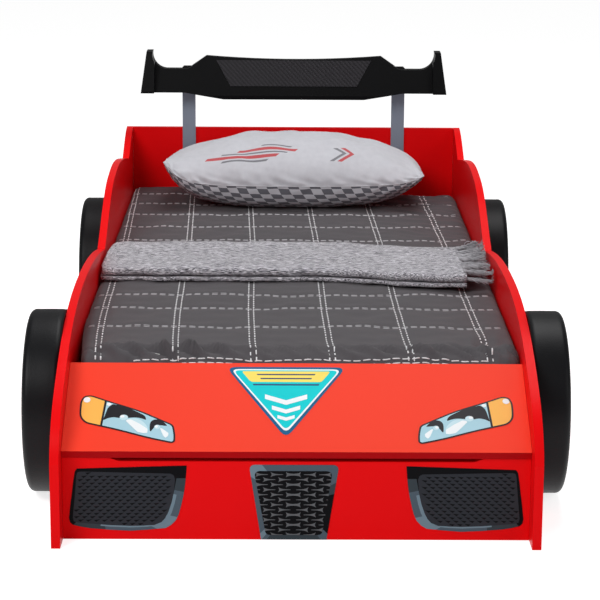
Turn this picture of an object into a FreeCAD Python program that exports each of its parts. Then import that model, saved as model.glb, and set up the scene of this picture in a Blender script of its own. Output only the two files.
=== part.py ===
"""A child's bed in the form of a racing car, made of painted boards, with its bedding.

Millimetres, +Z up. The hood and bumper face -Y, the headboard is at +Y and +X is to the right
seen from the hood. The origin is on the floor under the middle of the bed's bounding box.
Distances called "from the front" run back from the side panels' front edges.
"""
import FreeCAD, Part
import math
import os

V = FreeCAD.Vector

# ---- the board carcass ----
BOARD = 18.0                 # thickness of every painted board
INNER_WIDTH = 915.0          # between the side panels, for a mattress 90 cm wide
BED_LENGTH = 2196.0          # side panels' front edge to the headboard's back

FRONT_EDGE_RISE = 170.0      # straight upright part of the panels' front edge
FRONT_CREST_FROM_FRONT = 650.0
FRONT_CREST_HEIGHT = 395.0
WAIST_FROM_FRONT = 1151.0    # the kink where the rear wing starts
WAIST_HEIGHT = 350.0
REAR_CREST_FROM_REAR = 578.0
REAR_CREST_HEIGHT = 474.0
TAIL_DIP_FROM_REAR = 191.0
TAIL_DIP_HEIGHT = 428.0
TAIL_HEIGHT = 489.0          # top of the side panels and of the headboard at the back
HEADBOARD_BOTTOM = 120.0

# ---- hood, bumper and the board behind them ----
HOOD_SETBACK = 45.0          # upper corner of the hood's front edge, from the front
HOOD_FRONT_HEIGHT = 183.4
HOOD_TILT = 29.0             # degrees
HOOD_LENGTH = 248.0          # along the slope
HOOD_END_GAP = 0.5           # between the hood's ends and the side panels
BUMPER_SETBACK = 56.0
BUMPER_FLOOR_GAP = 0.5
SLOT_HALF_LENGTH = 370.0     # long cut-out in the bumper's top edge
SLOT_END_TAPER = 24.0
SLOT_FLOOR_HEIGHT = 160.0
SLOT_CORNER = 5.0
FOOTBOARD_BOTTOM = 60.0
CLEAT_WIDTH = 22.0
CLEAT_THICKNESS = 20.0

# ---- bed base ----
RAIL_WIDTH = 30.0
RAIL_HEIGHT = 45.0
RAIL_TOP_HEIGHT = 173.0
SLAT_COUNT = 13
SLAT_WIDTH = 70.0
SLAT_THICKNESS = 18.0
SLAT_END_GAP = 4.0
SLAT_FIELD_MARGIN = 22.0
TAPE_WIDTH = 25.0
TAPE_THICKNESS = 1.5
TAPE_OFFSET = 300.0

# ---- fastenings ----
CAM_PIN_RADIUS = 3.0
CAM_PIN_LENGTH = 34.0
CAM_PIN_IN_PANEL = 10.0
CAM_RADIUS = 7.5
CAM_DEPTH = 12.5
CAM_SIDES = 12
SCREW_SIDES = 6
DOWEL_RADIUS = 4.0
DOWEL_LENGTH = 30.0
DOWEL_IN_PANEL = 10.0
FASTENER_CLEARANCE = 0.2
WOOD_SCREW_RADIUS = 2.0
WOOD_SCREW_HEAD_RADIUS = 4.0
WOOD_SCREW_HEAD_HEIGHT = 3.0
RAIL_SCREWS = 5
RAIL_SCREW_LENGTH = 42.0
RAIL_SCREW_MARGIN = 120.0    # from the bed well's ends to the first and last screw
CLEAT_SCREW_LENGTH = 32.0

# ---- wheels ----
WHEEL_RADIUS = 190.0
WHEEL_FLOOR_GAP = 2.0
WHEEL_DEPTH = 76.0
WHEEL_CHAMFER = 9.0
WHEEL_WALL = 3.0
FRONT_WHEEL_FROM_FRONT = 378.0
REAR_WHEEL_FROM_REAR = 556.0
RIM_RADIUS = 118.0
RIM_RECESS = 14.0
RIM_BEVEL = 6.0
RIM_PLATE = 5.0
RIM_RING = 12.0
RIM_FIT_GAP = 0.4
SPOKES = 5
SPOKE_WIDTH = 26.0
HUB_RADIUS = 34.0
HUB_CAP_HEIGHT = 8.0
HUB_CAP_INSET = 6.0
BOSS_RADIUS = 9.0
BOSS_CIRCLE = 78.0
BOSSES = 3
WHEEL_SCREW_RADIUS = 2.5
WHEEL_SCREW_BITE = 30.0

# ---- rear wing and its brackets ----
WING_HALF_SPAN = 428.5
WING_BOTTOM = 580.0
WING_TIP_BOTTOM = 598.5
WING_FLAT_TOP = 661.0
WING_CENTRE_TOP = 687.0
WING_SHOULDER_TOP = 697.0
WING_TIP_TOP = 712.0
WING_SHOULDER_X = 246.0
WING_STEP_X = 294.0
WING_TIP_INNER_X = 352.0
WING_PLATE_INNER_X = 391.0      # inner side of the upright tip plates
WING_TIP_TOP_INNER_X = 396.0
WING_TIP_TOP_OUTER_X = 413.0
WING_CHORD = 72.0            # front to back along the underside
WING_TIP_OVERHANG = 16.0     # tip plates reach further forward than the blade
WING_LIP = 11.0              # upright lip below the fold line
WING_BLADE_TOP = 15.0        # blade thickness at the shoulders' height
WING_WALL = 5.0
WING_POCKET_HALF = 250.0     # open pocket in the underside
INSERT_TOP_WIDTH = 437.0
INSERT_BOTTOM_WIDTH = 355.0
INSERT_HEIGHT = 78.0
INSERT_BASE = 28.5           # from the fold line, up the blade's face
INSERT_THICKNESS = 1.2
BRACKET_X = 297.0
BRACKET_WIDTH = 37.0
BRACKET_THICKNESS = 5.0
BRACKET_CORNER = 5.0
BRACKET_BOTTOM = 345.0
BRACKET_TOP_OVERLAP = 68.0   # length of bracket behind the wing
BRACKET_SCREW_PITCH = 70.0
BOLT_RADIUS = 3.0
BOLT_HEAD_RADIUS = 6.0
BOLT_HEAD_HEIGHT = 3.5
BOLT_BITE = 12.0
WING_BOLT_PITCH = 34.0

# ---- printed plates ----
PRINT_THICKNESS = 0.6
BADGE_X = -21.0
BADGE_WIDTH = 243.0
BADGE_HEIGHT = 200.0
BADGE_BASE = 36.0            # its point, up the hood's slope
LAMP_INNER_X = 237.0         # headlight plate's inner end
LAMP_BASE = 22.0
GRILLE_INNER_X = 214.0
GRILLE_BASE = 18.0
CENTRE_GRILLE_X = -5.0
CENTRE_GRILLE_WIDTH = 173.0
CENTRE_GRILLE_FOOT_WIDTH = 128.0
CENTRE_GRILLE_TOP = 154.0

# ---- bedding ----
SOFT_GAP = 0.4               # soft pieces stay this clear of their neighbours
MATTRESS_SIDE_GAP = 8.5      # each side, which leaves 898 mm
MATTRESS_REAR_GAP = 7.7      # which leaves a length of 1900 mm
MATTRESS_THICKNESS = 119.5
MATTRESS_ROUND = 12.0
QUILT_THICKNESS = 8.5
QUILT_FRONT_TUCK = 8.0
QUILT_DROP = 80.0
QUILT_CHANNEL = 161.2        # between the rows of double stitching
QUILT_ROWS = 6
QUILT_CROWN = 2.5            # how far the cloth swells between two rows
QUILT_GATHER = 6.0           # more of it in the gathered front hem
QUILT_REAR_GAP = 4.0
PILLOW_WIDTH = 722.0
PILLOW_DEPTH = 380.0
PILLOW_THICKNESS = 176.0
PILLOW_REAR_GAP = 14.0
PILLOW_SEAM_HEIGHT = 72.0
PILLOW_CORNER_LIFT = 22.0
PILLOW_DRAW_IN = 30.0
PILLOW_PROFILE = ((1.0, 0.0), (0.94, 0.34), (0.76, 0.68), (0.44, 0.92))
THROW_DEPTH = 322.0
THROW_THICKNESS = 31.0
THROW_BACK_FROM_FRONT = 1246.0
THROW_LEFT_X = -450.0
THROW_RIGHT_X = 436.0
THROW_SLANT_X = 60.0         # from here to the right the throw bends to the front
THROW_SLANT = 104.0
THROW_RISE = 16.0            # its right end climbs towards the panel
FRINGE_THICKNESS = 9.0
FRINGE_REACH = 44.0          # its tips above the throw's underside, just over the panel's edge
FRINGE_MARGIN = 12.0
FRINGE_PROFILE = (0.5, 0.86, 1.0, 0.93, 0.7)

# ---- derived places ----
HALF_INNER = INNER_WIDTH / 2
HALF_WIDTH = HALF_INNER + BOARD
HEADBOARD_FACE = BED_LENGTH - BOARD
SLOPE = math.radians(HOOD_TILT)
WHEEL_AXLE_HEIGHT = WHEEL_FLOOR_GAP + WHEEL_RADIUS
HOOD_TOP_FROM_FRONT = HOOD_SETBACK + HOOD_LENGTH * math.cos(SLOPE)
FOOTBOARD_FACE = HOOD_TOP_FROM_FRONT - BOARD
SLAT_TOP = RAIL_TOP_HEIGHT + SLAT_THICKNESS
MATTRESS_FRONT = HOOD_TOP_FROM_FRONT + QUILT_FRONT_TUCK + SOFT_GAP
MATTRESS_REAR = HEADBOARD_FACE - MATTRESS_REAR_GAP
MATTRESS_HALF = HALF_INNER - MATTRESS_SIDE_GAP
MATTRESS_TOP = SLAT_TOP + MATTRESS_THICKNESS
QUILT_SEAM_HEIGHT = MATTRESS_TOP + SOFT_GAP + QUILT_THICKNESS
QUILT_TOP = QUILT_SEAM_HEIGHT + QUILT_CROWN
WING_BACK = HEADBOARD_FACE - BRACKET_THICKNESS
PRINT_ON_BUMPER = BUMPER_SETBACK


def at(x, from_front, z):
    """A point by its distance back from the side panels' front edges."""
    return V(x, from_front - BED_LENGTH / 2, z)


def box(x0, x1, y0, y1, z0, z1):
    """A block between two corners, Y counted from the front."""
    return Part.makeBox(x1 - x0, y1 - y0, z1 - z0, at(x0, y0, z0))


def curve(points):
    """One smooth curve through a few points."""
    spline = Part.BSplineCurve()
    spline.interpolate(points)
    return spline.toShape()


def line(a, b):
    return Part.LineSegment(a, b).toShape()


def arc(a, b, c):
    return Part.Arc(a, b, c).toShape()


def rod(radius, start, direction, length, sides=8):
    """A straight pin with flats, which keeps small fastenings light."""
    along = V(direction).normalize()
    across = V(0, 0, 1) if abs(along.z) < 0.9 else V(0, 1, 0)
    across = (across - along * across.dot(along)).normalize()
    third = along.cross(across)
    reach = radius / math.cos(math.pi / sides)
    corners = []
    for i in range(sides):
        angle = 2 * math.pi * (i + 0.5) / sides
        corners.append(
            start + across * (reach * math.cos(angle)) + third * (reach * math.sin(angle))
        )
    return prism(polygon(corners), along * length)


def polygon(points):
    return Part.makePolygon(points + points[:1])


def prism(wire, vector):
    """The solid that a flat outline sweeps along a vector."""
    return Part.Face(wire).extrude(vector)


def flat_facet_loft(sections):
    """A closed body of flat triangles through sections with the same number of points."""
    faces = [Part.Face(polygon(sections[0][::-1])), Part.Face(polygon(sections[-1]))]
    for near, far in zip(sections, sections[1:]):
        for i in range(len(near)):
            j = (i + 1) % len(near)
            faces.append(Part.Face(polygon([near[i], near[j], far[j]])))
            faces.append(Part.Face(polygon([near[i], far[j], far[i]])))
    solid = Part.Solid(Part.Shell(faces))
    if solid.Volume < 0:
        solid.reverse()
    return solid


def under_hood(from_front):
    """Height of the hood's underside at a distance from the front."""
    top = HOOD_FRONT_HEIGHT + (from_front - HOOD_SETBACK) * math.tan(SLOPE)
    return top - BOARD / math.cos(SLOPE)


def board_joints():
    """(centre from the front, heights of cams, height of the dowel, side of the cam's mouth)."""
    bumper_mid = BUMPER_SETBACK + BOARD / 2
    footboard_mid = FOOTBOARD_FACE + BOARD / 2
    headboard_mid = HEADBOARD_FACE + BOARD / 2
    bumper_top = SLOT_FLOOR_HEIGHT
    footboard_top = under_hood(FOOTBOARD_FACE)
    return {
        "front_bumper": (bumper_mid, cam_heights(BUMPER_FLOOR_GAP, bumper_top), 1),
        "footboard": (footboard_mid, cam_heights(FOOTBOARD_BOTTOM, footboard_top), -1),
        "headboard": (headboard_mid, cam_heights(HEADBOARD_BOTTOM, TAIL_HEIGHT), 1),
    }


def cam_heights(low, high):
    """Two cams near a board's ends and a dowel between them."""
    inset = 0.25 * (high - low)
    return (low + inset, high - inset), (low + high) / 2


def x_rod(radius, x0, x1, from_front, z):
    """A pin along X between two places."""
    return rod(radius, at(min(x0, x1), from_front, z), V(1, 0, 0), abs(x1 - x0))


def cam_sets(name):
    """Cam pins, cams, dowels and the holes for them, where one board meets both panels."""
    mid, (cams, dowel), mouth = board_joints()[name]
    pins, discs, dowels, holes = [], [], [], []
    gap = FASTENER_CLEARANCE
    for side in (-1, 1):
        face = side * HALF_INNER
        start = face + side * CAM_PIN_IN_PANEL
        reach = face - side * (CAM_PIN_LENGTH - CAM_PIN_IN_PANEL)
        for z in cams:
            pin = x_rod(CAM_PIN_RADIUS, start, reach, mid, z)
            pins.append(pin)
            holes.append(x_rod(CAM_PIN_RADIUS + gap, start + side * gap, reach, mid, z))
            base = at(reach - side * CAM_RADIUS, mid + mouth * BOARD / 2, z)
            inward = V(0, -mouth, 0)
            discs.append(rod(CAM_RADIUS, base, inward, CAM_DEPTH, CAM_SIDES))
            holes.append(rod(CAM_RADIUS + gap, base, inward, CAM_DEPTH + gap, CAM_SIDES))
        end = face - side * (DOWEL_LENGTH - DOWEL_IN_PANEL)
        begin = face + side * DOWEL_IN_PANEL
        dowels.append(x_rod(DOWEL_RADIUS, begin, end, mid, dowel))
        holes.append(x_rod(DOWEL_RADIUS + gap, begin + side * gap, end - side * gap, mid, dowel))
    return pins, discs, dowels, holes


def screw(point, direction, length):
    """A wood screw with a flat head sunk flush at the point."""
    head = rod(WOOD_SCREW_HEAD_RADIUS, point, direction, WOOD_SCREW_HEAD_HEIGHT, SCREW_SIDES)
    return head.fuse(rod(WOOD_SCREW_RADIUS, point, direction, length, SCREW_SIDES))


def screw_hole(point, direction, length):
    gap = FASTENER_CLEARANCE
    depth = WOOD_SCREW_HEAD_HEIGHT + gap
    head = rod(WOOD_SCREW_HEAD_RADIUS + gap, point, direction, depth, SCREW_SIDES)
    return head.fuse(rod(WOOD_SCREW_RADIUS + gap, point, direction, length + gap, SCREW_SIDES))


def rail_screw_places(side):
    """Screws through a side rail into its panel: start points and their direction."""
    first = HOOD_TOP_FROM_FRONT + RAIL_SCREW_MARGIN
    last = HEADBOARD_FACE - RAIL_SCREW_MARGIN
    pitch = (last - first) / (RAIL_SCREWS - 1)
    z = RAIL_TOP_HEIGHT - RAIL_HEIGHT / 2
    x = side * (HALF_INNER - RAIL_WIDTH)
    return [(at(x, first + i * pitch, z), V(side, 0, 0)) for i in range(RAIL_SCREWS)]


def cleat_span():
    """Where the hood's cleats start and end, from the front."""
    return BUMPER_SETBACK + BOARD + SOFT_GAP, FOOTBOARD_FACE - SOFT_GAP


def cleat_screw_places(side):
    """Screws through a hood cleat into its panel."""
    start, end = cleat_span()
    places = []
    for share in (0.25, 0.75):
        y = start + share * (end - start)
        z = under_hood(y) - CLEAT_THICKNESS / 2 / math.cos(SLOPE)
        places.append((at(side * (HALF_INNER - CLEAT_WIDTH), y, z), V(side, 0, 0)))
    return places


def wheel_centres():
    """Distances of the front and the rear wheels' middles from the front."""
    return FRONT_WHEEL_FROM_FRONT, BED_LENGTH - REAR_WHEEL_FROM_REAR


def boss_places(from_front):
    """Centres of a wheel's screw bosses, as (from the front, height)."""
    places = []
    for i in range(BOSSES):
        angle = math.radians(90 + i * 360 / BOSSES)
        places.append((
            from_front + BOSS_CIRCLE * math.cos(angle),
            WHEEL_AXLE_HEIGHT + BOSS_CIRCLE * math.sin(angle),
        ))
    return places


def wheel_screw(side, from_front, z, gap=0.0):
    """A screw into a wheel boss, its head sunk in the panel; or, with a gap, its hole."""
    start = at(side * HALF_INNER, from_front, z)
    outward = V(side, 0, 0)
    radius = WHEEL_SCREW_RADIUS
    head = rod(2 * radius + gap, start, outward, radius + gap, SCREW_SIDES)
    length = BOARD + WHEEL_SCREW_BITE + gap
    return head.fuse(rod(radius + gap, start, outward, length, SCREW_SIDES))


def screws_and_holes(places, length):
    solids = [screw(point, direction, length) for point, direction in places]
    holes = [screw_hole(point, direction, length) for point, direction in places]
    return solids, holes


# ---- boards ----
def side_outline(x):
    """Outline of a side panel: upright front edge, front wing, rear wing and tail."""
    crest_y, crest_z = FRONT_CREST_FROM_FRONT, FRONT_CREST_HEIGHT
    waist = at(x, WAIST_FROM_FRONT, WAIST_HEIGHT)
    nose = at(x, 0, FRONT_EDGE_RISE)
    rise = crest_z - FRONT_EDGE_RISE
    front_wing = [
        nose,
        at(x, 20, FRONT_EDGE_RISE + 0.20 * rise),
        at(x, 62, FRONT_EDGE_RISE + 0.38 * rise),
        at(x, 148, FRONT_EDGE_RISE + 0.587 * rise),
        at(x, 316, FRONT_EDGE_RISE + 0.853 * rise),
        at(x, 0.8 * crest_y, crest_z - 3),
        at(x, crest_y, crest_z),
        at(x, (crest_y + WAIST_FROM_FRONT) / 2, crest_z - 0.26 * (crest_z - WAIST_HEIGHT)),
        waist,
    ]
    crest_rear = BED_LENGTH - REAR_CREST_FROM_REAR
    climb = REAR_CREST_HEIGHT - WAIST_HEIGHT
    run = crest_rear - WAIST_FROM_FRONT
    dip = at(x, BED_LENGTH - TAIL_DIP_FROM_REAR, TAIL_DIP_HEIGHT)
    drop = REAR_CREST_HEIGHT - TAIL_DIP_HEIGHT
    back = REAR_CREST_FROM_REAR - TAIL_DIP_FROM_REAR
    rear_wing = [
        waist,
        at(x, WAIST_FROM_FRONT + 0.30 * run, WAIST_HEIGHT + 0.49 * climb),
        at(x, WAIST_FROM_FRONT + 0.58 * run, WAIST_HEIGHT + 0.86 * climb),
        at(x, WAIST_FROM_FRONT + 0.79 * run, WAIST_HEIGHT + 0.96 * climb),
        at(x, crest_rear, REAR_CREST_HEIGHT),
        at(x, crest_rear + 0.60 * back, REAR_CREST_HEIGHT - 0.45 * drop),
        dip,
    ]
    tail_rise = TAIL_HEIGHT - TAIL_DIP_HEIGHT
    corner = at(x, BED_LENGTH, TAIL_HEIGHT)
    tail = [
        dip,
        at(x, BED_LENGTH - 0.62 * TAIL_DIP_FROM_REAR, TAIL_DIP_HEIGHT + 0.52 * tail_rise),
        at(x, BED_LENGTH - 0.30 * TAIL_DIP_FROM_REAR, TAIL_DIP_HEIGHT + 0.86 * tail_rise),
        corner,
    ]
    edges = [
        line(at(x, 0, 0), nose),
        curve(front_wing),
        curve(rear_wing),
        curve(tail),
        line(corner, at(x, BED_LENGTH, 0)),
        line(at(x, BED_LENGTH, 0), at(x, 0, 0)),
    ]
    return Part.Wire(edges)


def side_panel(side, holes):
    """One painted side, bored for the fastenings."""
    start = -HALF_WIDTH if side < 0 else HALF_INNER
    panel = prism(side_outline(start), V(BOARD, 0, 0))
    return panel.cut(Part.makeCompound(holes))


def hood_panel():
    """The sloping board with a square-cut lip at the front and a plumb cut at the back."""
    run, rise = math.cos(SLOPE), math.sin(SLOPE)
    x = HALF_INNER - HOOD_END_GAP
    back = HOOD_TOP_FROM_FRONT
    lip = (HOOD_SETBACK + BOARD * rise, HOOD_FRONT_HEIGHT - BOARD * run)
    top_back = HOOD_FRONT_HEIGHT + HOOD_LENGTH * rise
    outline = polygon([
        at(-x, HOOD_SETBACK, HOOD_FRONT_HEIGHT),
        at(-x, lip[0], lip[1]),
        at(-x, back, under_hood(back)),
        at(-x, back, top_back),
    ])
    return prism(outline, V(2 * x, 0, 0))


def front_bumper(holes):
    """Upright board, bevelled under the hood, with the long air slot in its top edge."""
    x = HALF_INNER - HOOD_END_GAP
    back = BUMPER_SETBACK + BOARD
    low = BUMPER_FLOOR_GAP
    outline = polygon([
        at(-x, BUMPER_SETBACK, low),
        at(-x, back, low),
        at(-x, back, under_hood(back)),
        at(-x, BUMPER_SETBACK, under_hood(BUMPER_SETBACK)),
    ])
    board = prism(outline, V(2 * x, 0, 0))
    top = under_hood(back) + 1
    floor, half, taper, round_ = SLOT_FLOOR_HEIGHT, SLOT_HALF_LENGTH, SLOT_END_TAPER, SLOT_CORNER
    y = BUMPER_SETBACK - 1
    mouth = under_hood(BUMPER_SETBACK)
    bend = round_ / math.sqrt(2)
    left = [
        line(at(-half, y, top), at(-half, y, mouth)),
        line(at(-half, y, mouth), at(-half + taper - bend, y, floor + bend * 0.35)),
        arc(
            at(-half + taper - bend, y, floor + bend * 0.35),
            at(-half + taper, y, floor + bend * 0.06),
            at(-half + taper + bend, y, floor),
        ),
    ]
    right = [
        arc(
            at(half - taper - bend, y, floor),
            at(half - taper, y, floor + bend * 0.06),
            at(half - taper + bend, y, floor + bend * 0.35),
        ),
        line(at(half - taper + bend, y, floor + bend * 0.35), at(half, y, mouth)),
        line(at(half, y, mouth), at(half, y, top)),
    ]
    middle = line(at(-half + taper + bend, y, floor), at(half - taper - bend, y, floor))
    lid = line(at(half, y, top), at(-half, y, top))
    slot = prism(Part.Wire(left + [middle] + right + [lid]), V(0, BOARD + 2, 0))
    return board.cut(slot).cut(Part.makeCompound(holes))


def footboard(holes):
    """The inner board that closes the bed under the hood's upper edge."""
    x = HALF_INNER - HOOD_END_GAP
    back = FOOTBOARD_FACE + BOARD
    outline = polygon([
        at(-x, FOOTBOARD_FACE, FOOTBOARD_BOTTOM),
        at(-x, back, FOOTBOARD_BOTTOM),
        at(-x, back, under_hood(back)),
        at(-x, FOOTBOARD_FACE, under_hood(FOOTBOARD_FACE)),
    ])
    return prism(outline, V(2 * x, 0, 0)).cut(Part.makeCompound(holes))


def headboard(holes):
    """The back board between the side panels, flush with their tops and rear edges."""
    x = HALF_INNER - HOOD_END_GAP
    board = box(-x, x, HEADBOARD_FACE, BED_LENGTH, HEADBOARD_BOTTOM, TAIL_HEIGHT)
    return board.cut(Part.makeCompound(holes))


def hood_cleat(side, holes):
    """A batten under one end of the hood."""
    start, end = cleat_span()
    x0 = min(side * HALF_INNER, side * (HALF_INNER - CLEAT_WIDTH))
    drop = CLEAT_THICKNESS / math.cos(SLOPE)
    outline = polygon([
        at(x0, start, under_hood(start)),
        at(x0, end, under_hood(end)),
        at(x0, end, under_hood(end) - drop),
        at(x0, start, under_hood(start) - drop),
    ])
    return prism(outline, V(CLEAT_WIDTH, 0, 0)).cut(Part.makeCompound(holes))


# ---- bed base ----
def side_rail(side, holes):
    """The batten that carries the slats along one side."""
    x0 = min(side * HALF_INNER, side * (HALF_INNER - RAIL_WIDTH))
    rail = box(
        x0, x0 + RAIL_WIDTH, HOOD_TOP_FROM_FRONT, HEADBOARD_FACE,
        RAIL_TOP_HEIGHT - RAIL_HEIGHT, RAIL_TOP_HEIGHT,
    )
    return rail.cut(Part.makeCompound(holes))


def slat_starts():
    """Front edge of each slat, evenly spread over the base."""
    first = HOOD_TOP_FROM_FRONT + SLAT_FIELD_MARGIN
    last = HEADBOARD_FACE - SLAT_FIELD_MARGIN - SLAT_WIDTH
    pitch = (last - first) / (SLAT_COUNT - 1)
    return [first + i * pitch for i in range(SLAT_COUNT)]


def slats():
    x = HALF_INNER - SLAT_END_GAP
    return [box(-x, x, y, y + SLAT_WIDTH, RAIL_TOP_HEIGHT, SLAT_TOP) for y in slat_starts()]


def slat_tapes():
    """Two webbing tapes stapled under the slats to keep them apart."""
    starts = slat_starts()
    tapes = []
    for side in (-1, 1):
        x = side * TAPE_OFFSET
        tapes.append(box(
            x - TAPE_WIDTH / 2, x + TAPE_WIDTH / 2, starts[0], starts[-1] + SLAT_WIDTH,
            RAIL_TOP_HEIGHT - TAPE_THICKNESS, RAIL_TOP_HEIGHT,
        ))
    return tapes


# ---- wheels ----
def revolved_about_axle(points, side, from_front):
    """Turns an outline of (radius, distance out from the panel) about a wheel's axle."""
    start = side * HALF_WIDTH
    corners = []
    for radius, out in points:
        corners.append(at(start + side * out, from_front, WHEEL_AXLE_HEIGHT + radius))
    face = Part.Face(polygon(corners))
    return face.revolve(at(start, from_front, WHEEL_AXLE_HEIGHT), V(1, 0, 0), 360)


def wheel_tyre(side, from_front):
    """Moulded hollow wheel: tread, broken shoulder, sidewall, dished web and screw bosses."""
    wall = WHEEL_WALL
    web = WHEEL_DEPTH - RIM_RECESS
    shell = revolved_about_axle([
        (WHEEL_RADIUS, 0),
        (WHEEL_RADIUS, WHEEL_DEPTH - WHEEL_CHAMFER),
        (WHEEL_RADIUS - WHEEL_CHAMFER, WHEEL_DEPTH),
        (RIM_RADIUS + RIM_BEVEL, WHEEL_DEPTH),
        (RIM_RADIUS, web),
        (0, web),
        (0, web - wall),
        (WHEEL_RADIUS - wall, web - wall),
        (WHEEL_RADIUS - wall, 0),
    ], side, from_front)
    face = side * HALF_WIDTH
    inside = side * (HALF_WIDTH + web - wall / 2)
    for y, z in boss_places(from_front):
        shell = shell.fuse(x_rod(BOSS_RADIUS, face, inside, y, z))
    for y, z in boss_places(from_front):
        shell = shell.cut(wheel_screw(side, y, z, FASTENER_CLEARANCE))
    return shell


def wheel_rim(side, from_front):
    """Five-spoke insert that sits in the wheel's dish."""
    seat = WHEEL_DEPTH - RIM_RECESS
    radius = RIM_RADIUS - RIM_FIT_GAP
    disc = revolved_about_axle(
        [(radius, seat), (radius, seat + RIM_PLATE), (0, seat + RIM_PLATE), (0, seat)],
        side, from_front,
    )
    centre = at(side * (HALF_WIDTH + seat - 1), from_front, WHEEL_AXLE_HEIGHT)
    step = 2 * math.pi / SPOKES
    outer, inner = radius - RIM_RING, HUB_RADIUS + 5
    for i in range(SPOKES):
        mid = math.pi / 2 + (i + 0.5) * step
        wide = step / 2 - math.asin(SPOKE_WIDTH / 2 / outer)
        near = step / 2 - math.asin(min(0.99, SPOKE_WIDTH / 2 / inner))

        def rim_point(r, angle):
            return centre + V(0, r * math.cos(angle), r * math.sin(angle))

        window = polygon([
            rim_point(outer, mid - wide), rim_point(outer, mid - wide / 3),
            rim_point(outer, mid + wide / 3), rim_point(outer, mid + wide),
            rim_point(inner, mid + near), rim_point(inner, mid - near),
        ])
        disc = disc.cut(prism(window, V(side * (RIM_PLATE + 2), 0, 0)))
    return disc


def hub_cap(side, from_front):
    """A low domed cap on the middle of a rim."""
    seat = WHEEL_DEPTH - RIM_RECESS + RIM_PLATE
    radius = HUB_RADIUS - HUB_CAP_INSET
    return revolved_about_axle(
        [(0, seat), (radius, seat), (0.7 * radius, seat + HUB_CAP_HEIGHT),
         (0, seat + HUB_CAP_HEIGHT)],
        side, from_front,
    )


# ---- rear wing ----
def blade_face(height):
    """How far from the front the blade's sloping face lies at a height."""
    fold = WING_BOTTOM + WING_LIP
    face_bottom = WING_BACK - WING_CHORD
    face_top = WING_BACK - WING_BLADE_TOP
    share = (height - fold) / (WING_SHOULDER_TOP - fold)
    return face_bottom + share * (face_top - face_bottom)


def wing_front_outline(y):
    """The wing seen from the front: tips, notches, shoulders and the raised ends below."""
    def right(x, z):
        return at(x, y, z)

    def left(x, z):
        return at(-x, y, z)

    tip_bend_x = WING_TIP_INNER_X + 0.8 * (WING_TIP_TOP_INNER_X - WING_TIP_INNER_X)
    tip_bend_z = WING_FLAT_TOP + 0.3 * (WING_TIP_TOP - WING_FLAT_TOP)
    step = 9.0
    edges = []
    for place, order in ((right, 1), (left, -1)):
        half = [
            line(place(WING_HALF_SPAN, WING_TIP_BOTTOM), place(WING_TIP_TOP_OUTER_X, WING_TIP_TOP)),
            line(place(WING_TIP_TOP_OUTER_X, WING_TIP_TOP), place(WING_TIP_TOP_INNER_X, WING_TIP_TOP)),
            arc(
                place(WING_TIP_TOP_INNER_X, WING_TIP_TOP),
                place(tip_bend_x, tip_bend_z),
                place(WING_TIP_INNER_X, WING_FLAT_TOP),
            ),
            line(
                place(WING_TIP_INNER_X, WING_FLAT_TOP),
                place(WING_STEP_X + step, WING_FLAT_TOP),
            ),
            arc(
                place(WING_STEP_X + step, WING_FLAT_TOP),
                place(WING_STEP_X - 1, WING_FLAT_TOP + 0.35 * step),
                place(WING_STEP_X - step, WING_FLAT_TOP + step),
            ),
            line(
                place(WING_STEP_X - step, WING_FLAT_TOP + step),
                place(WING_SHOULDER_X, WING_SHOULDER_TOP),
            ),
        ]
        edges += half[::order]
        if order == 1:
            edges.append(arc(
                right(WING_SHOULDER_X, WING_SHOULDER_TOP),
                right(0, WING_CENTRE_TOP),
                left(WING_SHOULDER_X, WING_SHOULDER_TOP),
            ))
    foot_x, foot_in = 0.71 * WING_HALF_SPAN, 0.46 * WING_HALF_SPAN
    bottom = [
        left(WING_HALF_SPAN, WING_TIP_BOTTOM), left(foot_x, WING_TIP_BOTTOM),
        left(foot_in, WING_BOTTOM), right(foot_in, WING_BOTTOM),
        right(foot_x, WING_TIP_BOTTOM), right(WING_HALF_SPAN, WING_TIP_BOTTOM),
    ]
    edges += [line(a, b) for a, b in zip(bottom, bottom[1:])]
    return Part.Wire(Part.sortEdges(edges)[0])


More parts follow.
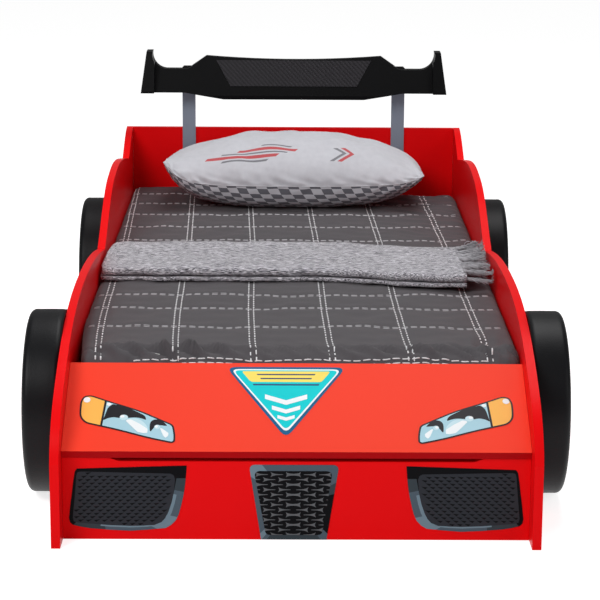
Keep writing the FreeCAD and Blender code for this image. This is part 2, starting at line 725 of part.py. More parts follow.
def spoiler_wing(holes):
    """Moulded wing: sloping blade with a lip, upswept tip plates and a pocket underneath."""
    front = blade_face(WING_BOTTOM + WING_LIP)
    deep = WING_CHORD + WING_TIP_OVERHANG
    outline = prism(wing_front_outline(WING_BACK - deep), V(0, deep, 0))
    x = WING_HALF_SPAN
    top = WING_TIP_TOP + 1
    low = WING_BOTTOM - 1
    fold = WING_BOTTOM + WING_LIP
    blade = prism(polygon([
        at(-x, front + 3, low), at(-x, front, fold),
        at(-x, blade_face(WING_SHOULDER_TOP), WING_SHOULDER_TOP),
        at(-x, blade_face(WING_SHOULDER_TOP), top),
        at(-x, WING_BACK, top), at(-x, WING_BACK, low),
    ]), V(2 * x, 0, 0))
    tip_front = WING_BACK - deep
    tips = []
    for side in (-1, 1):
        x0 = WING_PLATE_INNER_X if side > 0 else -WING_HALF_SPAN
        plate = prism(Part.Wire([
            line(at(x0, WING_BACK, low), at(x0, tip_front + 10, low)),
            arc(
                at(x0, tip_front + 10, low),
                at(x0, tip_front + 1, low + 14),
                at(x0, tip_front + 4, low + 34),
            ),
            line(at(x0, tip_front + 4, low + 34), at(x0, tip_front + 34, top)),
            line(at(x0, tip_front + 34, top), at(x0, WING_BACK, top)),
            line(at(x0, WING_BACK, top), at(x0, WING_BACK, low)),
        ]), V(WING_HALF_SPAN - WING_PLATE_INNER_X, 0, 0))
        tips.append(plate)
    body = outline.common(blade.fuse(tips))
    wall = WING_WALL
    ceiling = WING_FLAT_TOP - wall
    half = WING_POCKET_HALF
    pocket = prism(polygon([
        at(-half, front + 3 + wall, low), at(-half, blade_face(fold) + wall, fold),
        at(-half, blade_face(ceiling) + wall, ceiling),
        at(-half, WING_BACK - wall, ceiling), at(-half, WING_BACK - wall, low),
    ]), V(2 * half, 0, 0))
    return body.cut(pocket).cut(Part.makeCompound(holes))


def spoiler_insert():
    """The flat trapezoid plate on the blade's face."""
    fold = WING_BOTTOM + WING_LIP
    rise = WING_SHOULDER_TOP - fold
    lean = blade_face(WING_SHOULDER_TOP) - blade_face(fold)
    length = math.hypot(rise, lean)
    up = V(0, lean / length, rise / length)
    out = V(0, -up.z, up.y)
    base = at(0, blade_face(fold), fold) + up * INSERT_BASE
    bottom, top = INSERT_BOTTOM_WIDTH / 2, INSERT_TOP_WIDTH / 2
    tip = base + up * INSERT_HEIGHT
    across = V(1, 0, 0)
    outline = polygon([
        base - across * bottom, base + across * bottom, tip + across * top, tip - across * top,
    ])
    return prism(outline, out * INSERT_THICKNESS)


def bracket_screw_heights():
    low = BRACKET_BOTTOM + 20
    return low, low + BRACKET_SCREW_PITCH


def wing_bolt_heights():
    low = WING_TIP_BOTTOM + 15
    return low, low + WING_BOLT_PITCH


def y_rod(radius, x, y0, y1, z):
    """A pin along Y between two distances from the front."""
    return rod(radius, at(x, min(y0, y1), z), V(0, 1, 0), abs(y1 - y0))


def spoiler_bracket(side, holes):
    """A flat bar with clipped corners, from the headboard's face up behind the wing."""
    x = side * BRACKET_X
    half = BRACKET_WIDTH / 2
    low = BRACKET_BOTTOM
    high = WING_TIP_BOTTOM + BRACKET_TOP_OVERLAP
    clip = BRACKET_CORNER
    y = WING_BACK
    outline = polygon([
        at(x - half + clip, y, low), at(x + half - clip, y, low),
        at(x + half, y, low + clip), at(x + half, y, high - clip),
        at(x + half - clip, y, high), at(x - half + clip, y, high),
        at(x - half, y, high - clip), at(x - half, y, low + clip),
    ])
    return prism(outline, V(0, BRACKET_THICKNESS, 0)).cut(Part.makeCompound(holes))


def headed_bolt(x, head_face, direction, z, length):
    """A pan-head bolt along Y whose head lies against a face."""
    head = y_rod(BOLT_HEAD_RADIUS, x, head_face, head_face - direction * BOLT_HEAD_HEIGHT, z)
    return head.fuse(y_rod(BOLT_RADIUS, x, head_face, head_face + direction * length, z))


def bracket_fasteners():
    """Screws into the headboard, bolts into the wing and the holes for both."""
    screws, bolts, holes = [], [], []
    gap = FASTENER_CLEARANCE
    for side in (-1, 1):
        x = side * BRACKET_X
        for z in bracket_screw_heights():
            length = BRACKET_THICKNESS + BOLT_BITE
            screws.append(headed_bolt(x, WING_BACK, 1, z, length))
            holes.append(y_rod(
                BOLT_RADIUS + gap, x, WING_BACK - 1, WING_BACK + length + gap, z
            ))
        for z in wing_bolt_heights():
            face = WING_BACK + BRACKET_THICKNESS
            length = BRACKET_THICKNESS + BOLT_BITE
            bolts.append(headed_bolt(x, face, -1, z, length))
            holes.append(y_rod(BOLT_RADIUS + gap, x, face - length - gap, face + 1, z))
    return screws, bolts, holes


# ---- printed plates ----
def hood_point(x, up):
    """A point on the hood's top face, by its distance up the slope."""
    return at(
        x, HOOD_SETBACK + up * math.cos(SLOPE), HOOD_FRONT_HEIGHT + up * math.sin(SLOPE)
    )


def hood_print(wire):
    out = V(0, -math.sin(SLOPE), math.cos(SLOPE))
    return prism(wire, out * PRINT_THICKNESS)


def headlight(side):
    """A swept-back lamp print: pointed at the middle, high at the outer end."""
    def place(out, up):
        return hood_point(side * (LAMP_INNER_X + out), LAMP_BASE + up)

    top = [place(5, 50), place(72, 89), place(141, 118), place(175, 133)]
    foot = [place(187, 57), place(115, 35), place(50, 12), place(3, 1)]
    wire = Part.Wire([
        curve(top),
        arc(top[-1], place(192, 112), place(192, 91)),
        arc(place(192, 91), place(191, 68), foot[0]),
        curve(foot),
        line(foot[-1], place(0, 8)),
        arc(place(0, 8), place(0, 32), top[0]),
    ])
    return hood_print(wire)


def badge_panel():
    """The triangular plate that points down the hood."""
    half = BADGE_WIDTH / 2
    return hood_print(polygon([
        hood_point(BADGE_X, BADGE_BASE),
        hood_point(BADGE_X + half, BADGE_BASE + BADGE_HEIGHT),
        hood_point(BADGE_X - half, BADGE_BASE + BADGE_HEIGHT),
    ]))


def bumper_print(wire):
    return prism(wire, V(0, -PRINT_THICKNESS, 0))


def side_grille(side):
    """The wide air-intake print at one end of the bumper."""
    def place(out, up):
        return at(side * (GRILLE_INNER_X + out), PRINT_ON_BUMPER, GRILLE_BASE + up)

    wire = Part.Wire([
        line(place(214, 127), place(0, 134)),
        curve([place(0, 134), place(4, 90), place(12, 50), place(22, 22), place(42, 6)]),
        curve([place(42, 6), place(110, 0), place(190, 5), place(224, 12)]),
        arc(place(224, 12), place(230, 16), place(231, 26)),
        curve([place(231, 26), place(224, 80), place(218, 121)]),
        line(place(218, 121), place(214, 127)),
    ])
    return bumper_print(wire)


def centre_grille():
    """The tapering radiator print in the middle of the bumper."""
    def place(x, z):
        return at(CENTRE_GRILLE_X + x, PRINT_ON_BUMPER, z)

    top, foot = CENTRE_GRILLE_WIDTH / 2, CENTRE_GRILLE_FOOT_WIDTH / 2
    high, low = CENTRE_GRILLE_TOP, BUMPER_FLOOR_GAP
    shoulder, cut = 26.0, 8.0
    return bumper_print(polygon([
        place(-foot, low), place(foot, low),
        place(top, high - shoulder), place(top, high - cut), place(top - cut, high),
        place(-top + cut, high), place(-top, high - cut), place(-top, high - shoulder),
    ]))


# ---- bedding ----
def mattress():
    """A plain foam mattress with rounded corners."""
    half = MATTRESS_HALF
    block = box(-half, half, MATTRESS_FRONT, MATTRESS_REAR, SLAT_TOP, MATTRESS_TOP)
    upright = [edge for edge in block.Edges if edge.BoundBox.ZLength > MATTRESS_THICKNESS / 2]
    return block.makeFillet(MATTRESS_ROUND, upright)


def quilt_section(from_front, seam_height, crown):
    """The quilt across the bed: a swell between every two rows of stitching."""
    half = HALF_INNER - SOFT_GAP
    first = -QUILT_CHANNEL * (QUILT_ROWS - 1) / 2
    rows = [first + i * QUILT_CHANNEL for i in range(QUILT_ROWS)]
    stops = [-half] + rows + [half]
    low = QUILT_SEAM_HEIGHT - QUILT_DROP
    edges = [line(at(-half, from_front, low), at(-half, from_front, seam_height))]
    for a, b in zip(stops, stops[1:]):
        edges.append(arc(
            at(a, from_front, seam_height),
            at((a + b) / 2, from_front, seam_height + crown),
            at(b, from_front, seam_height),
        ))
    edges.append(line(at(half, from_front, seam_height), at(half, from_front, low)))
    edges.append(line(at(half, from_front, low), at(-half, from_front, low)))
    return Part.Wire(edges)


def quilt():
    """A thin stitched cover over the mattress, tucked down at the sides and gathered in front."""
    front = HOOD_TOP_FROM_FRONT + SOFT_GAP
    rear = HEADBOARD_FACE - QUILT_REAR_GAP
    seam, crown, gather = QUILT_SEAM_HEIGHT, QUILT_CROWN, QUILT_GATHER
    sections = [
        (front, seam - 9, 0.6 * gather),
        (front + 4, seam - 3, gather),
        (front + 14, seam - 0.3 * gather, gather),
        (front + 60, seam - 0.1 * gather, 0.6 * gather),
        (front + 160, seam, crown),
        (rear - 12, seam, crown),
        (rear, seam - 5, crown),
    ]
    body = Part.makeLoft([quilt_section(*s) for s in sections], True, True)
    gap = SOFT_GAP
    half = MATTRESS_HALF + gap
    room = box(
        -half, half, MATTRESS_FRONT - gap, BED_LENGTH, 0, MATTRESS_TOP + gap
    )
    return body.cut(room)


def pillow_section(u):
    """The pillow cut across at u, from -1 at its left tips to 1 at its right ones."""
    plump = (1 - abs(u) ** 2.6) ** 0.62
    x = u * PILLOW_WIDTH / 2
    rear = HEADBOARD_FACE - PILLOW_REAR_GAP
    drawn = PILLOW_DRAW_IN * (1 - u * u)
    front = rear - PILLOW_DEPTH + drawn
    back = rear - 0.4 * drawn
    seam = QUILT_TOP + PILLOW_SEAM_HEIGHT + PILLOW_CORNER_LIFT * abs(u) ** 3
    top = seam + max(5.0, (PILLOW_THICKNESS - PILLOW_SEAM_HEIGHT) * plump)
    bottom = max(QUILT_TOP + SOFT_GAP, seam - max(5.0, PILLOW_SEAM_HEIGHT * plump))
    mid = (front + back) / 2
    reach = (back - front) / 2

    def rim(share, height, up):
        return at(x, mid + share * reach, seam + up * (height - seam))

    upper = [rim(-c, top, u) for c, u in PILLOW_PROFILE] + [rim(0.12, top, 1)]
    upper += [rim(c, top, u) for c, u in PILLOW_PROFILE[::-1]]
    lower = [rim(c, bottom, u) for c, u in PILLOW_PROFILE[1:]] + [rim(0.12, bottom, 1)]
    lower += [rim(-c, bottom, u) for c, u in PILLOW_PROFILE[:0:-1]]
    return upper + lower


def pillow():
    """A plump pillow with drawn-in long sides and lifted corner tips."""
    stations = (-1, -0.97, -0.9, -0.78, -0.6, -0.36, -0.12, 0.12, 0.36, 0.6, 0.78, 0.9, 0.97, 1)
    return flat_facet_loft([pillow_section(u) for u in stations])


def throw_line(x):
    """(back edge from the front, extra height) of the folded throw at a place across the bed."""
    bend = max(0.0, (x - THROW_SLANT_X) / (THROW_RIGHT_X - THROW_SLANT_X))
    back = THROW_BACK_FROM_FRONT - THROW_SLANT * bend ** 1.5
    near_end = max(0.0, (x - THROW_RIGHT_X + 90) / 90)
    return back, THROW_RISE * near_end ** 2


def throw_section(x, thickness):
    """The folded throw cut along the bed: flat below, a rolled front fold, a thin back."""
    back, lift = throw_line(x)
    front = back - THROW_DEPTH
    low = QUILT_TOP + SOFT_GAP + lift
    points = [
        (front + 8, 0), (front + 1, 0.14), (front, 0.32), (front + 5, 0.46), (front + 3, 0.62),
        (front + 10, 0.84), (front + 26, 0.98), ((front + back) / 2, 1.05), (back - 26, 0.93),
        (back - 8, 0.66), (back, 0.2), (back - 6, 0),
    ]
    return polygon([at(x, y, low + share * thickness) for y, share in points])


def throw():
    """A knitted throw folded in three and laid across the bed, one end against the panel."""
    stations = [
        (THROW_LEFT_X, 0.72), (THROW_LEFT_X + 30, 0.95), (-150, 1.03), (THROW_SLANT_X, 0.98),
        (150, 1.0), (220, 1.02), (290, 1.0), (350, 1.0), (THROW_RIGHT_X - 35, 0.98),
        (THROW_RIGHT_X - 15, 0.94), (THROW_RIGHT_X, 0.82),
    ]
    wires = [throw_section(x, share * THROW_THICKNESS) for x, share in stations]
    return Part.makeLoft(wires, True, True)


def throw_fringe():
    """The knotted fringe, pushed up against the side panel and over its edge at the waist."""
    back, lift = throw_line(THROW_RIGHT_X)
    front = back - THROW_DEPTH
    low = QUILT_TOP + SOFT_GAP + lift + 2
    outer = HALF_INNER - SOFT_GAP
    inner = outer - FRINGE_THICKNESS
    margin = FRINGE_MARGIN
    span = THROW_DEPTH - 2 * margin
    tips = []
    for i, share in enumerate(FRINGE_PROFILE):
        y = front + margin + span * i / (len(FRINGE_PROFILE) - 1)
        tips.append(at(inner, y, low + share * FRINGE_REACH))
    upright = prism(Part.Wire([
        line(at(inner, front + margin, low), tips[0]),
        curve(tips),
        line(tips[-1], at(inner, back - margin, low)),
        line(at(inner, back - margin, low), at(inner, front + margin, low)),
    ]), V(FRINGE_THICKNESS, 0, 0))
    top = low + 0.5 * THROW_THICKNESS
    foot = box(THROW_RIGHT_X, inner, front + margin, back - margin, low, top)
    return upright.fuse(foot)


def group(solids):
    """Separate solids kept together in one file."""
    return Part.makeCompound(solids)


def save(name, shape):
    shape.exportStep("parts/" + name + ".step")


def main():
    os.makedirs("parts", exist_ok=True)
    pins, cams, dowels, board_holes = [], [], [], {}
    for name in board_joints():
        new_pins, new_cams, new_dowels, holes = cam_sets(name)
        pins += new_pins
        cams += new_cams
        dowels += new_dowels
        board_holes[name] = holes
    bracket_screws, wing_bolts, bracket_holes = bracket_fasteners()

    rail_screws, cleat_screws, wheel_screws = [], [], []
    for side, name in ((-1, "left"), (1, "right")):
        solids, rail_holes = screws_and_holes(rail_screw_places(side), RAIL_SCREW_LENGTH)
        rail_screws += solids
        solids, cleat_holes = screws_and_holes(cleat_screw_places(side), CLEAT_SCREW_LENGTH)
        cleat_screws += solids
        panel_holes = rail_holes + cleat_holes
        for holes in board_holes.values():
            panel_holes += holes
        axles = wheel_centres()
        save("wheel_tyres_" + name, group([wheel_tyre(side, y) for y in axles]))
        save("wheel_rims_" + name, group([wheel_rim(side, y) for y in axles]))
        for from_front in axles:
            for y, z in boss_places(from_front):
                wheel_screws.append(wheel_screw(side, y, z))
                panel_holes.append(wheel_screw(side, y, z, FASTENER_CLEARANCE))
        save("side_panel_" + name, side_panel(side, panel_holes))
        save("side_rail_" + name, side_rail(side, rail_holes))
        save("hood_cleat_" + name, hood_cleat(side, cleat_holes))
        save("spoiler_bracket_" + name, spoiler_bracket(side, bracket_holes))
        save("headlight_" + name, headlight(side))
        save("grille_" + name, side_grille(side))

    save("hub_caps", group([
        hub_cap(side, y) for side in (-1, 1) for y in wheel_centres()
    ]))
    save("wheel_screws", group(wheel_screws))
    save("rail_screws", group(rail_screws))
    save("cleat_screws", group(cleat_screws))
    save("cam_pins", group(pins))
    save("cam_locks", group(cams))
    save("dowels", group(dowels))
    save("bracket_screws", group(bracket_screws))
    save("wing_bolts", group(wing_bolts))
    save("hood_panel", hood_panel())
    save("front_bumper", front_bumper(board_holes["front_bumper"]))
    save("footboard", footboard(board_holes["footboard"]))
    save("headboard", headboard(board_holes["headboard"] + bracket_holes))
    save("slats", group(slats()))
    save("slat_tapes", group(slat_tapes()))
    save("spoiler_wing", spoiler_wing(bracket_holes))
    save("spoiler_insert", spoiler_insert())
    save("badge_panel", badge_panel())
    save("grille_centre", centre_grille())
    save("mattress", mattress())
    save("quilt", quilt())
    save("pillow", pillow())
    save("throw", throw())
    save("throw_fringe", throw_fringe())


main()
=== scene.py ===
"""The look of a child's bed in the form of a racing car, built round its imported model.

Metres. The hood faces -Y, +X is to the right seen from the hood, and the floor is Z = 0.
Distances called "from the front" run back from the side panels' front edges.
"""
import math

import bmesh
import bpy
import numpy as np
from mathutils import Matrix


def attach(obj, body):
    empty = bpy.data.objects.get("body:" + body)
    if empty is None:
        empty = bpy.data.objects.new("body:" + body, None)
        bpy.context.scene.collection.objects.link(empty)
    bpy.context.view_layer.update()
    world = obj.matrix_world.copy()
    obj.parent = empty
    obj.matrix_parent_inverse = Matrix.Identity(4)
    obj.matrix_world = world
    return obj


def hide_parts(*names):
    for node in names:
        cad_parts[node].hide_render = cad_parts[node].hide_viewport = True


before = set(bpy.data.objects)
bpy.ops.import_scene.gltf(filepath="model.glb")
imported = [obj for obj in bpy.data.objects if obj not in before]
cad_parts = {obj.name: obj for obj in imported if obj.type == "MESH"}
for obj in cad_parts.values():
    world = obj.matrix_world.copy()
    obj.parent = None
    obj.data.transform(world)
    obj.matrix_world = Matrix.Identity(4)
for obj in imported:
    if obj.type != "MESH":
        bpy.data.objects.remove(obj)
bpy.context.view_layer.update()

# ---- sizes repeated from the model, in metres ----
HALF_LENGTH, HALF_INNER, BOARD = 1.098, 0.4575, 0.018
HOOD_SETBACK, HOOD_FRONT_HEIGHT, SLOPE = 0.045, 0.1834, math.radians(29)
BUMPER_FACE, PRINT = 0.056, 0.0006
WHEEL_RADIUS, WHEEL_DEPTH, AXLE_HEIGHT = 0.190, 0.076, 0.192
RIM_RADIUS, RIM_RECESS = 0.118, 0.014
WHEELS = (0.378, 2 * HALF_LENGTH - 0.556)
QUILT_TOP = 0.3219
THROW_LEFT, THROW_RIGHT, THROW_DEPTH, THROW_BACK = -0.450, 0.436, 0.322, 1.246


def back_from_front(distance):
    """Y of a place counted from the front."""
    return distance - HALF_LENGTH


# ---- camera ----
def set_in_place(thing, right, up, back, spot):
    """Links an object and turns it so that its X, Y and Z run along three directions."""
    bpy.context.scene.collection.objects.link(thing)
    matrix = np.eye(4)
    matrix[:3] = np.column_stack((right, up, back, spot))
    thing.matrix_world = Matrix(matrix.tolist())


def set_camera():
    """Stands where the photograph was taken: pitched down, with a little yaw and roll."""
    pitch, yaw, roll = 0.2312, 0.00825, 0.00602
    forward = np.array((math.sin(yaw) * math.cos(pitch), math.cos(yaw) * math.cos(pitch),
                        -math.sin(pitch)))
    level = np.array((math.cos(yaw), -math.sin(yaw), 0.0))
    upward = np.cross(level, forward)
    data = bpy.data.cameras.new("camera")
    data.lens, data.sensor_width, data.clip_end = 131.42, 36.0, 60.0
    camera = bpy.data.objects.new("camera", data)
    set_in_place(camera, math.cos(roll) * level + math.sin(roll) * upward,
                 math.cos(roll) * upward - math.sin(roll) * level, -forward,
                 (-0.02908, -5.12018, 1.44382))
    bpy.context.scene.camera = camera


set_camera()


# ---- shader groups ----
def feed(tree, socket, value):
    """Links a socket to another one, or gives it a plain value."""
    if isinstance(value, bpy.types.NodeSocket):
        tree.links.new(value, socket)
    else:
        socket.default_value = (*value, 1.0) if socket.type == "RGBA" else value


def add_node(tree, kind, **inputs):
    """A node of a kind, or one that holds a group, with some of its inputs fed by name."""
    node = tree.nodes.new(kind if isinstance(kind, str) else "ShaderNodeGroup")
    if not isinstance(kind, str):
        node.node_tree = kind
    for title, value in inputs.items():
        feed(tree, node.inputs[title.replace("_", " ")], value)
    return node


def math_node(tree, operation, *values):
    """A Math node fed by sockets or plain numbers; returns its output."""
    node = tree.nodes.new("ShaderNodeMath")
    node.operation = operation
    for socket, value in zip(node.inputs, values):
        feed(tree, socket, value)
    return node.outputs[0]


def new_group(name, numbers, outputs):
    """A shader group fed by a vector and by numbers; returns it with its inner sockets."""
    group = bpy.data.node_groups.new(name, "ShaderNodeTree")
    group.interface.new_socket("Vector", in_out="INPUT", socket_type="NodeSocketVector")
    for title, value in numbers.items():
        group.interface.new_socket(
            title, in_out="INPUT", socket_type="NodeSocketFloat").default_value = value
    for title in outputs:
        group.interface.new_socket(title, in_out="OUTPUT", socket_type="NodeSocketFloat")
    return (group, group.nodes.new("NodeGroupInput").outputs,
            group.nodes.new("NodeGroupOutput").inputs)


def mottle_group():
    """Two sizes of noise: a soft patchiness and a fine grain, each from 0 to 1."""
    group, give, take = new_group(
        "mottle", {"Patch size": 3.0, "Grain size": 300.0}, ("Patches", "Grain"))
    for title, size, detail in (("Patches", "Patch size", 3.0), ("Grain", "Grain size", 4.0)):
        noise = add_node(group, "ShaderNodeTexNoise", Vector=give["Vector"], Scale=give[size],
                         Detail=detail)
        group.links.new(noise.outputs["Fac"], take[title])
    return group


def cloth_group():
    """A plain weave: half the product of two crossed sets of sine threads, plus a half."""
    group, give, take = new_group(
        "plain_weave", {"Threads per metre": 900.0}, ("Height", "Shade"))
    split = add_node(group, "ShaderNodeSeparateXYZ", Vector=give["Vector"]).outputs
    turn = math_node(group, "MULTIPLY", give["Threads per metre"], math.pi)
    along, across = (math_node(group, "SINE", math_node(group, "MULTIPLY", split[axis], turn))
                     for axis in (0, 1))
    crossing = math_node(group, "MULTIPLY", along, across)
    group.links.new(math_node(group, "MULTIPLY_ADD", crossing, 0.5, 0.5), take["Height"])
    noise = add_node(group, "ShaderNodeTexNoise", Vector=give["Vector"], Scale=60.0, Detail=3.0)
    group.links.new(noise.outputs["Fac"], take["Shade"])
    return group


def pebble_group():
    """Leather-like grain: one less the distance to the middle of rounded cells."""
    group, give, take = new_group("pebble_grain", {"Cells per metre": 350.0}, ("Height",))
    cells = add_node(group, "ShaderNodeTexVoronoi", Vector=give["Vector"],
                     Scale=give["Cells per metre"])
    cells.feature = "SMOOTH_F1"
    group.links.new(math_node(group, "SUBTRACT", 1.0, cells.outputs["Distance"]), take["Height"])
    return group


MOTTLE, WEAVE, PEBBLE = mottle_group(), cloth_group(), pebble_group()


# ---- finishes ----
class Finish:
    """A material in the making: its main shader and short ways to feed it."""

    def __init__(self, name, colour, roughness, **settings):
        self.material = bpy.data.materials.new(name)
        self.material.use_nodes = True
        self.material.diffuse_color = (*colour, 1.0)
        self.tree = self.material.node_tree
        self.set(Base_Color=colour, Roughness=roughness, **settings)

    def set(self, **inputs):
        """Feeds inputs of the main shader by name."""
        shader = self.tree.nodes["Principled BSDF"]
        for title, value in inputs.items():
            feed(self.tree, shader.inputs[title.replace("_", " ")], value)

    def node(self, kind, **inputs):
        return add_node(self.tree, kind, **inputs)

    def math(self, operation, *values):
        return math_node(self.tree, operation, *values)

    def place(self, scale=(1, 1, 1)):
        """Object coordinates, scaled."""
        source = self.node("ShaderNodeTexCoord").outputs["Object"]
        return self.node("ShaderNodeMapping", Vector=source, Scale=scale).outputs[0]

    def split(self, vector):
        """The three parts of a vector."""
        return self.node("ShaderNodeSeparateXYZ", Vector=vector).outputs

    def blend(self, mask, low, high):
        """Colour between two, by a mask; each is a colour or a socket."""
        mix = self.node("ShaderNodeMix")
        mix.data_type = "RGBA"
        for index, value in ((0, mask), (6, low), (7, high)):
            feed(self.tree, mix.inputs[index], value)
        return mix.outputs[2]

    def between(self, socket, low, high):
        """A 0 to 1 socket stretched to run from low to high."""
        return self.math("MULTIPLY_ADD", socket, high - low, low)

    def relief(self, height, depth, strength=1.0):
        """Bump whose full height is that depth in metres."""
        bump = self.node("ShaderNodeBump", Height=height, Distance=depth, Strength=strength)
        self.set(Normal=bump.outputs[0])


def shade(colour, factor):
    return tuple(min(1.0, channel * factor) for channel in colour)


def mottled(name, colour, rough, sizes, shades, guide, steps, **settings):
    """A finish with colour patches between two shades, and roughness by patches or grain.

    Returns the finish, its colour and its grain. Sizes are those of the patches and of the
    grain, and steps go from the roughness down and up.
    """
    finish = Finish(name, colour, rough, **settings)
    spots = finish.node(MOTTLE, Vector=finish.place(), Patch_size=sizes[0],
                        Grain_size=sizes[1]).outputs
    field = finish.blend(spots["Patches"], shade(colour, shades[0]), shade(colour, shades[1]))
    finish.set(Base_Color=field,
               Roughness=finish.between(spots[guide], rough + steps[0], rough + steps[1]))
    return finish, field, spots["Grain"]


def paint(name, colour, rough=0.34, edge=None):
    """Painted board: a faint orange peel, patches in the gloss, and painted shade on faces that
    point to the front.
    """
    finish, field, grain = mottled(name, colour, rough, (4.0, 160.0), (0.97, 1.03), "Patches",
                                   (-0.05, 0.06), Specular_IOR_Level=0.05)
    if edge:
        # Painted shade: faces that point to the front take the darker colour edge, as if turned
        # away from the light.
        normal = finish.split(finish.node("ShaderNodeNewGeometry").outputs["True Normal"])
        front_shade_mask = finish.math("LESS_THAN", normal[1], -0.7)
        finish.set(Base_Color=finish.blend(front_shade_mask, field, edge))
    finish.relief(grain, 0.00006, 0.5)
    return finish.material


def moulding(name, colour, rough, cells, depth, gloss=0.2):
    """Moulded plastic with a pebbled grain."""
    finish = mottled(name, colour, rough, (6.0, 220.0), (0.8, 1.25), "Grain", (-0.06, 0.08),
                     Specular_IOR_Level=gloss)[0]
    grain = finish.node(PEBBLE, Vector=finish.place(), Cells_per_metre=cells)
    finish.relief(grain.outputs["Height"], depth)
    return finish.material


def timber(name, light, dark):
    """Planed softwood: long streaks of noise along the board, and a little grain."""
    finish = Finish(name, light, 0.6)
    streaks = finish.node(MOTTLE, Vector=finish.place((1.5, 30, 30)), Patch_size=3.0,
                          Grain_size=12.0).outputs
    finish.set(Base_Color=finish.blend(streaks["Patches"], dark, light),
               Roughness=finish.between(streaks["Grain"], 0.5, 0.72))
    finish.relief(streaks["Grain"], 0.0002)
    return finish.material


def plain_metal(name, colour, rough, metallic=1.0, patches=8.0, dipped=None):
    """Plated or powder-coated metal with slight patches and a fine grain.

    Dipped gives a height above which the metal is black.
    """
    finish, field, grain = mottled(name, colour, rough, (patches, 700.0), (0.9, 1.08), "Grain",
                                   (-0.06, 0.1), Metallic=metallic)
    if dipped:
        above = finish.math("GREATER_THAN", finish.split(finish.place())[2], dipped)
        finish.set(Base_Color=finish.blend(above, field, DULL_BLACK))
    finish.relief(grain, 0.00005, 0.6)
    return finish.material


def printed(name, colour, rough=0.36, gloss=0.15):
    """Printed film: flat ink under a thin gloss, with a faint unevenness."""
    finish, _, grain = mottled(name, colour, rough, (12.0, 400.0), (0.96, 1.04), "Patches",
                               (-0.05, 0.05), Specular_IOR_Level=gloss)
    finish.relief(grain, 0.00002, 0.4)
    return finish.material


def carbon(name):
    """Carbon-pattern film: a two-by-two twill of dark and less dark squares."""
    finish = Finish(name, (0.02, 0.02, 0.022), 0.34, Specular_IOR_Level=0.2)
    split = finish.split(finish.place((320, 320, 320)))
    steps = finish.math("ADD", finish.math("FLOOR", split[0]), finish.math("FLOOR", split[2]))
    phase = finish.math("MODULO", finish.math("ADD", steps, 4000.0), 4.0)
    over = finish.math("LESS_THAN", phase, 1.5)
    finish.set(Base_Color=finish.blend(over, (0.008, 0.007, 0.009), (0.028, 0.026, 0.03)),
               Roughness=finish.between(over, 0.4, 0.25))
    finish.relief(over, 0.00008)
    return finish.material


def woven(name, colour, threads, rough=0.85, depth=0.0002, sheen=0.25, spread=0.1):
    """Plain-woven cloth: threads in relief with painted highlight on their raised crossings, a soft
    sheen and slight random patches of tone.
    """
    finish = Finish(name, colour, rough, Sheen_Weight=sheen, Sheen_Roughness=0.5)
    weave = finish.node(WEAVE, Vector=finish.place(), Threads_per_metre=threads).outputs
    patches = finish.blend(weave["Shade"], shade(colour, 1 - spread), shade(colour, 1 + spread))
    # Painted highlight: the higher the threads stand, the lighter they are painted, up to 30
    # percent of the way to half again the colour.
    finish.set(Base_Color=finish.blend(
        finish.between(weave["Height"], 0.0, 0.3), patches, shade(colour, 1.5)))
    finish.relief(weave["Height"], depth, 0.8)
    return finish.material


def knitted(name, light, middle, dark):
    """Heather knit: fleck streaks running across the bed over a fine looped texture."""
    finish = Finish(name, middle, 0.92, Sheen_Weight=0.15, Specular_IOR_Level=0.2)
    streaks = finish.node("ShaderNodeTexNoise", Vector=finish.place((48, 560, 560)),
                          Scale=1.0, Detail=3.0, Roughness=0.6).outputs["Fac"]
    flecks = finish.node("ShaderNodeTexNoise", Vector=finish.place((70, 760, 760)),
                         Scale=1.0, Detail=2.0).outputs["Fac"]
    lit = finish.math("SMOOTH_MIN", 1.0, finish.math("MULTIPLY_ADD", streaks, 13.0, -5.7), 0.1)
    base = finish.blend(finish.math("MAXIMUM", lit, 0.0), dark, middle)
    bright = finish.math("MAXIMUM", finish.math("MULTIPLY_ADD", flecks, 13.0, -6.6), 0.0)
    finish.set(Base_Color=finish.blend(finish.math("MINIMUM", bright, 1.0), base, light))
    weave = finish.node(WEAVE, Vector=finish.place(), Threads_per_metre=330.0)
    finish.relief(finish.math("MULTIPLY_ADD", flecks, 0.8, weave.outputs["Height"]), 0.0009, 0.8)
    return finish.material


DULL_BLACK = (0.004, 0.004, 0.0044)
RED_PAINT = paint("red_paint", (0.86, 0.004, 0.006))
# Painted light and shade: the hood's paint is a lighter, more orange copy of the red paint for its
# sloping top, which catches the light, and its front-facing lip is painted darker.
HOOD_PAINT_LIT_AND_SHADED = paint("hood_paint_lit_and_shaded", (0.92, 0.055, 0.026), 0.38, (0.5, 0.001, 0.004))
BARE_WOOD = timber("bare_wood", (0.66, 0.47, 0.27), (0.5, 0.33, 0.17))
TYRE_BLACK = moulding("tyre_black", (0.0035, 0.0036, 0.0048), 0.42, 420.0, 0.00025, 0.16)
WING_BLACK = moulding("wing_black", DULL_BLACK, 0.4, 900.0, 0.0001, 0.06)
RIM_SILVER = moulding("rim_silver", (0.33, 0.34, 0.36), 0.34, 700.0, 0.00005)
BAR_GREY = plain_metal("bar_grey", (0.25, 0.295, 0.37), 0.42, 0.1, dipped=0.6595)
SCREW_STEEL = plain_metal("screw_steel", (0.55, 0.55, 0.56), 0.32, 1.0, 60.0)
CAM_ZINC = plain_metal("cam_zinc", (0.42, 0.42, 0.43), 0.4, 1.0, 90.0)
CARBON = carbon("carbon_film")
QUILT_CLOTH = woven("quilt_cloth", (0.056, 0.050, 0.056), 900.0, 0.8, 0.00012, 0.08, 0.08)
MATTRESS_TICK = woven("mattress_tick", (0.62, 0.62, 0.6), 700.0)
